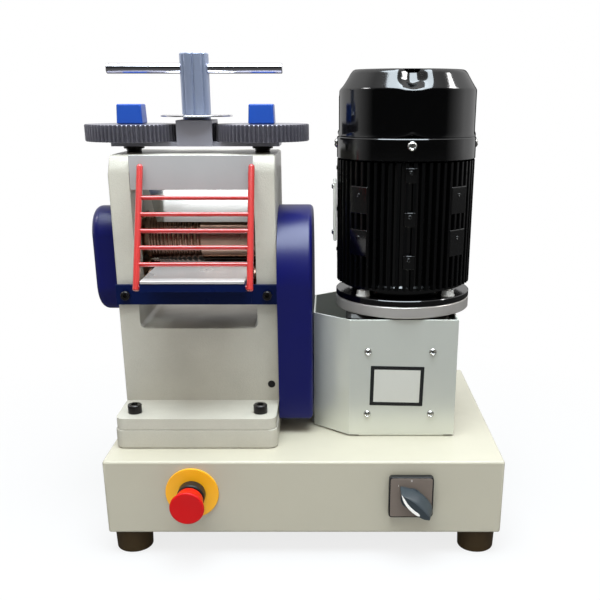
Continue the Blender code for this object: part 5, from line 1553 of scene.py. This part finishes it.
@dataclass
class Covers(Assembly):
    """The two navy covers."""

    wall: float = 2.0 * MM
    left_edge: float = 10 * MM
    right_edge: float = 5 * MM
    corner: float = 3 * MM
    hole_r: float = 10.3 * MM
    hole_reach: float = 6 * MM
    arc_steps: int = 40

    def make(self) -> None:
        """Make both covers."""
        self.left()
        self.right()

    def left(self) -> None:
        """Make the left cover, round above and below."""
        low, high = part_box("left_cover")
        radius = (high.y - low.y) / 2

        def stadium(size: float) -> list[Pair]:
            """Return the cover's outline in the face plane."""
            return (arc((0, high.z - radius), size, 0, TAU / 2, self.arc_steps)
                    + arc((0, low.z + radius), size, TAU / 2, TAU, self.arc_steps))

        mesh = domed_shell(stadium, radius, high.x - low.x, self.left_edge, self.wall)
        add("left_cover_shell", mesh, Facing.LEFT.at((high.x, (high.y + low.y) / 2, 0)),
            COVER_NAVY, "left_cover")

    def right(self) -> None:
        """Make the right cover with the hole for the drive shaft."""
        low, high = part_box("right_cover")
        radius, corner = (high.y - low.y) / 2, self.corner

        def arch(size: float) -> list[Pair]:
            """Return the cover's outline: round above, square below."""
            bottom = low.z + radius - size + corner
            return (arc((0, high.z - radius), size, 0, TAU / 2, self.arc_steps)
                    + arc((-size + corner, bottom), corner, TAU / 2, TAU * 3 / 4, steps=4)
                    + arc((size - corner, bottom), corner, TAU * 3 / 4, TAU, steps=4))

        mesh = domed_shell(arch, radius, high.x - low.x, self.right_edge, self.wall)
        shell = as_object("right_cover_shell", mesh,
                          Facing.RIGHT.at((low.x, (high.y + low.y) / 2, 0)))
        shaft = middle("drive_pinion")
        hole = as_object("hole", rod(self.hole_r, 0, 2 * self.hole_reach, sides=48),
                         Facing.RIGHT.at((high.x - self.hole_reach, shaft.y, shaft.z)))
        dress(carved(shell, hole), COVER_NAVY, "right_cover")


@dataclass
class Gearbox(Assembly):
    """Sheet cabinet round the gearbox, its blank plate and screws, and the adapter plate."""

    kept: tuple = (("gearbox_cabinet", CABINET_SHEET, 0.35 * MM),
                   ("gearbox_housing", DARK_CASTING, 0.8 * MM))
    slant: float = 42 * MM
    plate_half: Pair = (31.25 * MM, 24.25 * MM)
    plate_border: float = 4.3 * MM
    plate_turn: float = math.radians(-1.2)
    plate_layers: tuple = (("plate_border", LABEL_BLACK, 0.8 * MM, 0.0, 0.25 * MM),
                           ("plate_field", LABEL_SILVER, 0.5 * MM, 0.2 * MM, 0.32 * MM))
    plate_left: float = 24.5 * MM
    plate_low: float = 38.7 * MM
    screw_r: float = 4.4 * MM
    screw_h: float = 3.0 * MM
    screw_left: float = 21.5 * MM
    screw_low: float = 28.3 * MM
    screw_pitch: tuple = (75 * MM, 76.5 * MM, 0)
    adapter_bore: float = 9.3 * MM
    adapter_edge: float = 0.8 * MM

    def make(self) -> None:
        """Make the screws and the plate on the cabinet's front, and the adapter plate."""
        low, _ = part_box("gearbox_cabinet")
        corner = low.x + self.slant
        place = Facing.FRONT.at((corner + self.screw_left, low.y, low.z + self.screw_low))
        repeat("cabinet_screws", dome_screw(self.screw_r, self.screw_h), Pattern.GRID, place,
               SCREW_STEEL, "gearbox_cabinet", Count=4, Columns=2, Step=self.screw_pitch)
        u, v = self.plate_half
        place = Facing.FRONT.at((corner + self.plate_left + u, low.y, low.z + self.plate_low + v))
        place = place @ Matrix.Rotation(self.plate_turn, 4, "Z")
        inset = 0.0
        for name, finish, round_r, back, front in self.plate_layers:
            outline = rounded((u - inset, v - inset), round_r, steps=3)
            add(name, raised(outline, back, front), place, finish, "gearbox_cabinet", False)
            inset += self.plate_border
        low, high, radius, place = upright("adapter_plate")
        ring = washer(self.adapter_bore, radius, low.z, high.z, self.adapter_edge, sides=160)
        add("adapter_ring", ring, place, CASTING, "adapter_plate")


@dataclass
class Motor(Assembly):
    """Flange, finned body, cowl, terminal cover and their screws."""

    sides: int = 160
    shaft_bore: float = 9.3 * MM
    flange_neck: float = 62 * MM
    flange_edge: float = 0.7 * MM
    flange_t: float = 7 * MM
    fillet: float = 2 * MM
    bolt_sizes: tuple = (13 * MM, 5.3 * MM, 8 * MM, 1.4 * MM)
    bolt_circle: float = 69.5 * MM
    core_share: float = 0.90
    core_bore: float = 46.5 * MM
    core_roof: float = 17 * MM
    foot_t: float = 5 * MM
    band_h: float = 24 * MM
    band_rise: float = 4 * MM
    band_edge: float = 1.0 * MM
    fins: int = 56
    fin_share: float = 0.42
    fin_edge: float = 0.5 * MM
    fin_inset: float = 0.3 * MM
    fin_root: float = 1.0 * MM
    fin_start: float = 3 * MM
    pad_sizes: tuple = (("wide", TAU / 8, 2, 26 * MM, 30 * MM, 42 * MM),
                        ("narrow", 0.0, 3, 13 * MM, 16 * MM, 14 * MM))
    pad_pitch: float = 47 * MM
    pad_drop: float = 0.2 * MM
    pad_edge: float = 1.2 * MM
    pad_screw: Pair = (2.4 * MM, 1.0 * MM)
    pad_screw_share: float = 0.18
    screw: Pair = (5.5 * MM, 4.0 * MM)
    screw_drop: float = 7.5 * MM
    screw_sink: float = 0.6 * MM
    terminal_edge: float = 0.6 * MM
    terminal_screw: Pair = (3.2 * MM, 2.2 * MM)
    terminal_inset: float = 7 * MM

    def make(self) -> None:
        """Make the motor's pieces from the flange up."""
        self.flange()
        self.body()
        self.terminal()

    def flange(self) -> None:
        """Make the round flange and its four bolts."""
        low, high, radius, _ = upright("motor_flange")
        *_, place = upright("fan_cowl")
        plate, edge, neck = low.z + self.flange_t, self.flange_edge, self.flange_neck
        ring = turned(((self.shaft_bore, low.z), (radius - edge, low.z), (radius, low.z + edge),
                       (radius, plate - edge), (radius - edge, plate), (neck + self.fillet, plate),
                       (neck, plate + self.fillet), (neck, high.z), (self.shaft_bore, high.z)),
                      self.sides)
        add("flange_ring", ring, place, MOTOR_GLOSS, "motor_flange")
        repeat("flange_bolts", hex_bolt(*self.bolt_sizes), Pattern.RING, place @ up(plate),
               ZINC_STEEL, "motor_flange", Count=4, Radius=self.bolt_circle, Start=TAU / 8)

    def body(self) -> None:
        """Make the motor's core, its fins, its pads, the band under the cowl and its screws."""
        low, high, radius, _ = upright("motor_body")
        *_, place = upright("fan_cowl")
        core, lip = radius * self.core_share, self.band_edge
        band, roof = high.z - self.band_h, high.z - self.core_roof
        foot, foot_top = core + self.fillet, low.z + self.foot_t
        shell = turned(((self.core_bore, low.z), (foot, low.z), (foot, foot_top),
                        (core, foot_top + self.fillet), (core, band - self.band_rise),
                        (radius - lip, band), (radius, band + lip), (radius, high.z - lip),
                        (radius - lip, high.z), (self.shaft_bore, high.z), (self.shaft_bore, roof),
                        (self.core_bore, roof)), self.sides)
        add("motor_core", shell, place, MOTOR_GLOSS, "motor_body")

        half = math.pi / self.fins * self.fin_share * radius
        root, tip, edge = core - self.fin_root, radius - self.fin_inset, self.fin_edge
        section = ((root, -half), (tip - edge, -half), (tip, edge - half), (tip, half - edge),
                   (tip - edge, half), (root, half))
        repeat("motor_fins", raised(section, low.z + self.fin_start, band - self.fin_root),
               Pattern.RING, place, MOTOR_CAST, "motor_body", Count=self.fins,
               Start=math.pi / self.fins)

        depth = radius - core - self.pad_drop
        for kind, start, rows, width, height, first in self.pad_sizes:
            for row in range(rows):
                head = moved(dome_screw(*self.pad_screw),
                             Matrix.Translation((0, height * self.pad_screw_share, depth)))
                pad = merged(soften(block((width, height, depth)), self.pad_edge), head)
                level = band - first - row * self.pad_pitch
                repeat(f"motor_pads_{kind}_{row}", moved(pad, Facing.RIGHT.at((core, 0, 0))),
                       Pattern.RING, place @ up(level), MOTOR_GLOSS, "motor_body", Count=4,
                       Start=start)

        head = moved(dome_screw(*self.screw), Facing.RIGHT.at((radius - self.screw_sink, 0, 0)))
        repeat("cowl_screws", head, Pattern.RING, place @ up(high.z - self.screw_drop),
               SCREW_STEEL, "motor_body", Count=4)

    def terminal(self) -> None:
        """Make the terminal cover on the motor's left side, with its two screws."""
        low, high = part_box("terminal_cover")
        dress(refined("terminal_cover", self.terminal_edge, segments=3), LABEL_SILVER, "terminal_cover")
        inset = self.terminal_inset
        place = Facing.LEFT.at((low.x, middle("terminal_cover").y, low.z + inset))
        repeat("terminal_screws", dome_screw(*self.terminal_screw), Pattern.ROW, place,
               SCREW_STEEL, "terminal_cover", Count=2, Step=(0, high.z - low.z - 2 * inset, 0))


@dataclass
class Cowl(Assembly):
    """Pressed fan cowl with its four dents and the slotted grille in its top."""

    sides: int = 240
    wall: float = 1.6 * MM
    bead: float = 1.2 * MM
    bead_top: float = 3.2 * MM
    wall_rings: int = 10
    chamfer: Pair = (13 * MM, 19 * MM)
    turn_r: float = 5 * MM
    turn_shares: Pair = (0.8, 0.6)
    turn_steps: int = 8
    chamfer_rings: int = 12
    brim: tuple = ((2.2 * MM, 3.0 * MM), (0.2 * MM, 1.0 * MM), (-2.2 * MM, 0))
    rim_r: float = 58 * MM
    dent_depth: float = 11 * MM
    dent_half: float = math.radians(17)
    dent_floor: float = 0.12
    dent_low: float = 25 * MM
    dent_bow: float = 0.22
    dent_fade: float = 12 * MM
    dent_inner: float = 50 * MM
    lip_rise: float = 3.5 * MM
    lip_half: float = math.radians(15)
    lip_top: float = 4 * MM
    slots: int = 24
    slot_share: float = 0.52
    slot_inner: float = 20 * MM
    slot_margin: float = 5 * MM
    eye_r: float = 12 * MM

    def make(self) -> None:
        """Turn the cowl's shell, press its dents and make its grille."""
        low, high, radius, place = upright("fan_cowl")
        across, down = self.chamfer
        shoulder, top_r, foot = high.z - down, radius - across, low.z + self.bead_top
        outer = [(radius + self.bead, low.z), (radius + self.bead, low.z + self.bead),
                 (radius, foot)]
        outer += [(radius, foot + (shoulder - self.turn_r - foot) * k / self.wall_rings)
                  for k in range(1, self.wall_rings)]
        sweep = TAU / 4 - math.atan2(down, across)
        inward, drop = (self.turn_r * share for share in self.turn_shares)
        outer += [(radius - inward * (1 - math.cos(a)), shoulder - drop + self.turn_r * math.sin(a))
                  for a in [sweep * k / self.turn_steps for k in range(self.turn_steps + 1)]]
        brim = [(top_r + out, high.z - below) for out, below in self.brim]
        first, last = Vector(outer[-1]), Vector(brim[0])
        outer += [tuple(first.lerp(last, k / self.chamfer_rings))
                  for k in range(1, self.chamfer_rings)]
        outer += brim
        inner = [(r - self.wall, z - (self.wall if z > shoulder else 0)) for r, z in outer]
        rim = [(self.rim_r, high.z), (self.rim_r, high.z - self.wall)]
        mesh = turned(outer + rim + inner[::-1], self.sides)
        for vert in mesh.verts:
            self.dent(vert, low.z, high.z)
        add("cowl_shell", mesh, place, MOTOR_GLOSS, "fan_cowl")
        repeat("cowl_grille", self.sector(high.z), Pattern.RING, place, MOTOR_GLOSS, "fan_cowl",
               Count=self.slots, Weld=WELD)

    def dent(self, vert: bmesh.types.BMVert, bottom: float, top: float) -> None:
        """Push a point in at the four dents, and lift the lower edge over each cowl screw.

        Args:
            vert: The point, which is moved.
            bottom: Height of the cowl's lower edge.
            top: Height of its top.
        """
        angle = math.atan2(vert.co.y, vert.co.x)
        off = abs((angle + TAU / 8) % (TAU / 4) - TAU / 8)
        if vert.co.z < bottom + self.lip_top:
            vert.co.z += self.lip_rise * max(1 - off / self.lip_half, 0) ** 1.5
            return
        if off > self.dent_half:
            return
        side = off / self.dent_half
        foot = top - self.dent_low * (1 - self.dent_bow * side)
        rise = min(max((vert.co.z - foot) / self.dent_fade, 0), 1)
        radius = math.hypot(vert.co.x, vert.co.y)
        fade = min(max((radius - self.dent_inner) / self.dent_fade, 0), 1)
        wall = max(side - self.dent_floor, 0) / (1 - self.dent_floor)
        across = 1 - wall * wall * (3 - 2 * wall)
        depth = self.dent_depth * across * rise * rise * (3 - 2 * rise) * fade
        vert.co.x *= (radius - depth) / radius
        vert.co.y *= (radius - depth) / radius

    def sector(self, top: float) -> BMesh:
        """Return one slot's share of the grille, open towards its neighbours.

        Args:
            top: Height of the grille's upper face.

        Returns:
            An open mesh, centred on +X.
        """
        half = math.pi / self.slots
        slot = half * self.slot_share
        radii = (self.eye_r, self.slot_inner, self.rim_r - self.slot_margin, self.rim_r)
        mesh = bmesh.new()
        low, high = ([ring_of(mesh, [polar(r, a) for a in (-half, -slot, slot, half)], height)
                      for r in radii] for height in (top - self.wall, top))
        cells = [(i, k) for i in range(3) for k in range(3) if (i, k) != (1, 1)]
        for i, k in cells:
            mesh.faces.new((low[i][k], low[i][k + 1], low[i + 1][k + 1], low[i + 1][k]))
            mesh.faces.new((high[i][k], high[i + 1][k], high[i + 1][k + 1], high[i][k + 1]))
        slot_corners = ((1, 1), (1, 2), (2, 2), (2, 1), (1, 1))
        skin(mesh, [[level[i][k] for i, k in slot_corners] for level in (low, high)], closed=False)
        skin(mesh, (low[0][::-1], high[0][::-1]), closed=False)
        skin(mesh, (low[3], high[3]), closed=False)
        return mesh


@dataclass(frozen=True)
class Lamp:
    """A soft square lamp that looks at the mill's middle."""

    name: str
    spot: tuple
    size: float
    power: float
    colour: Colour = (1, 1, 1)
    lights: bool = False
    glints: bool = False
    aim: tuple = (0, 0, 0.25)

    def hang(self) -> None:
        """Hang the lamp, to light matt surfaces, to show in glossy ones, or both."""
        data = bpy.data.lights.new(self.name, "AREA")
        data.size = self.size
        data.energy = self.power
        data.color = self.colour
        lamp = linked(self.name, data)
        lamp.location = self.spot
        lamp.visible_diffuse = self.lights
        lamp.visible_glossy = self.glints
        way = Vector(self.aim) - Vector(self.spot)
        lamp.rotation_euler = way.to_track_quat("-Z", "Y").to_euler()


@dataclass
class Studio:
    """Floor, world, lamps, the dark card of painted shade behind the roll window, and the camera at the
    photograph's angle.
    """

    floor_r: float = 6.0
    floor_t: float = 0.02
    floor_grey: tuple = (0.5, 0.5, 0.5, 1)
    floor_mirror: float = 0.12
    shadow_r: Pair = (0.30, 0.75)
    shadow_clear: Pair = (0.8, 1.0)
    camera_spot: tuple = (0.0453, -1.0166, 0.497)
    camera_tilt: float = math.radians(90 - 19.7)
    lens: float = 50.4
    shift: Pair = (-0.052, 0.167)
    sky_heights: Pair = (0.0, 0.6)
    sky_light: Pair = (0.10, 0.80)
    room_depths: Pair = (-0.45, 0.25)
    room_light: Pair = (0.02, 1.0)
    room_heights: Pair = (0.55, 0.9)
    lamps: tuple = (Lamp("key", (-0.9, -1.5, 1.5), 0.9, 4.2, (1, 0.88, 0.70), lights=True),
                    Lamp("fill", (1.5, -1.2, 0.9), 1.0, 1.8, (1, 0.92, 0.80), lights=True),
                    Lamp("top", (0.05, -0.36, 1.75), 1.2, 59.0, (0.82, 0.925, 1), lights=True,
                         glints=True),
                    Lamp("glint_right", (1.3, 0.0, 1.4), 0.35, 9.0, glints=True),
                    Lamp("glint_left", (-1.1, -0.1, 1.35), 0.28, 5.0, glints=True))
    # The card is painted shade: a dark sheet behind the roll window, seen through the grooves at the nip.
    card_low: tuple = (-0.215, 0.15, 0.262)
    card_high: tuple = (-0.03, 0.151, 0.37)
    card_view: float = math.cos(math.radians(25))
    card_shade_colour: tuple = (0.02, 0.018, 0.016, 1)

    def build(self) -> None:
        """Make the floor, the world, the lamps, the painted-shade card and the camera."""
        bpy.context.scene.view_settings.view_transform = "Standard"
        floor = rod(self.floor_r, -self.floor_t, 0, sides=64)
        self.stage("studio_floor", floor, Matrix(), self.floor_look)
        self.world()
        for lamp in self.lamps:
            lamp.hang()
        low, high = Vector(self.card_low), Vector(self.card_high)
        place = Matrix.Translation(((low.x + high.x) / 2, (low.y + high.y) / 2, low.z))
        self.stage("studio_card", block(high - low), place, self.shade_card_look)
        self.camera()

    def stage(self, name: str, mesh: BMesh, place: Matrix, look: Callable) -> None:
        """Stand a studio piece in its place.

        Args:
            name: The piece's and its material's name.
            mesh: Its mesh.
            place: Where it goes.
            look: Makes its shader from a nodes helper.
        """
        material = bpy.data.materials.new(name)
        material.use_nodes = True
        nodes = Nodes(material.node_tree)
        nodes.tree.nodes.remove(nodes.tree.nodes["Principled BSDF"])
        nodes.fill(nodes.tree.nodes["Material Output"], {0: look(nodes)})
        piece = as_object(name, mesh, place)
        piece.data.materials.append(material)
        piece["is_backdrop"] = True

    def floor_look(self, nodes: Nodes) -> Socket:
        """Make a white floor that keeps the mill's soft shadow and mirrors little.

        Args:
            nodes: The helper of the material's tree.

        Returns:
            The floor's shader.
        """
        lit = nodes.add("ShaderNodeBsdfDiffuse", {"Color": self.floor_grey}).outputs[0]
        glow, dim = (nodes.add("ShaderNodeEmission", {"Color": WHITE, "Strength": s}).outputs[0]
                     for s in (1.0, self.floor_mirror))
        place = nodes.add("ShaderNodeTexCoord").outputs["Object"]
        clear = nodes.span(nodes.vector("LENGTH", place), self.shadow_r, self.shadow_clear)
        path = nodes.add("ShaderNodeLightPath").outputs
        seen = nodes.math("MAXIMUM", path["Is Camera Ray"], path["Is Transmission Ray"])
        mixed = nodes.blend(nodes.math("MULTIPLY", seen, clear), lit, glow)
        return nodes.blend(path["Is Glossy Ray"], mixed, dim)

    def shade_card_look(self, nodes: Nodes) -> Socket:
        """Make a dark card of painted shade behind the roll window, seen through the roll grooves, that only shows
        from the camera's side.

        Args:
            nodes: The helper of the material's tree.

        Returns:
            The card's shader.
        """
        path = nodes.add("ShaderNodeLightPath").outputs
        seen = nodes.math("MAXIMUM", path["Is Camera Ray"], path["Is Glossy Ray"])
        to_camera = (Vector(self.camera_spot) - Vector(self.card_high)).normalized()
        way = nodes.add("ShaderNodeNewGeometry").outputs["Incoming"]
        along = nodes.vector("DOT_PRODUCT", way, to_camera)
        facing = nodes.math("GREATER_THAN", along, self.card_view)
        clear = nodes.add("ShaderNodeBsdfTransparent").outputs[0]
        dark = nodes.add("ShaderNodeBsdfDiffuse", {"Color": self.card_shade_colour}).outputs[0]
        return nodes.blend(nodes.math("MULTIPLY", seen, facing), clear, dark)

    def world(self) -> None:
        """Make a white background, a dimmer room in front of it, and soft light all round."""
        world = bpy.data.worlds.new("studio")
        bpy.context.scene.world = world
        world.use_nodes = True
        nodes = Nodes(world.node_tree)
        nodes.tree.nodes.clear()
        path = nodes.add("ShaderNodeLightPath").outputs
        camera, glossy = path["Is Camera Ray"], path["Is Glossy Ray"]
        way = nodes.add("ShaderNodeTexCoord").outputs["Generated"]
        parts = nodes.add("ShaderNodeSeparateXYZ", {0: way}).outputs
        behind = nodes.span(parts[1], self.room_depths, self.room_light)
        above = nodes.span(parts[2], self.room_heights)
        room = nodes.math("MULTIPLY", glossy, nodes.math("MAXIMUM", behind, above))
        sky = nodes.span(parts[2], self.sky_heights, self.sky_light)
        other = nodes.math("SUBTRACT", 1.0, nodes.math("ADD", camera, glossy))
        ambient = nodes.math("MULTIPLY", nodes.math("MAXIMUM", other, 0.0), sky)
        clear = nodes.math("ADD", camera, path["Is Transmission Ray"])
        total = nodes.math("ADD", nodes.math("ADD", ambient, room), clear)
        strength = nodes.math("MINIMUM", total, 1.0)
        light = nodes.add("ShaderNodeBackground", {"Color": WHITE, "Strength": strength})
        nodes.add("ShaderNodeOutputWorld", {0: light.outputs[0]})

    def camera(self) -> None:
        """Stand the camera where the photograph was taken from."""
        data = bpy.data.cameras.new("camera")
        data.lens = self.lens
        data.shift_x, data.shift_y = self.shift
        camera = linked("camera", data)
        camera.location = self.camera_spot
        camera.rotation_euler = (self.camera_tilt, 0, 0)
        bpy.context.scene.camera = camera


def write_sizes() -> None:
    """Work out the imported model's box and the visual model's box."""
    boxes = {"cad": CAD_BOX, "visual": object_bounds()}
    sizes = {name: [list(corner) for corner in box] for name, box in boxes.items()}


def main() -> None:
    """Build every sub-assembly in turn and the studio round them."""
    logging.basicConfig(level=logging.INFO, format="%(name)s %(message)s")
    for finish, nodes in INNER_FINISHES.items():
        for node in nodes:
            painted(frame["nodes"][node], finish)
    for assembly in (BaseCabinet(), StopButton(), CamSwitch(), MillFrame(), Rolls(), Feed(),
                     Head(), Covers(), Gearbox(), Motor(), Cowl(), Studio()):
        assembly.build()
        LOG.info("%s is in place", type(assembly).__name__)
    write_sizes()


if __name__ == "__main__":
    main()
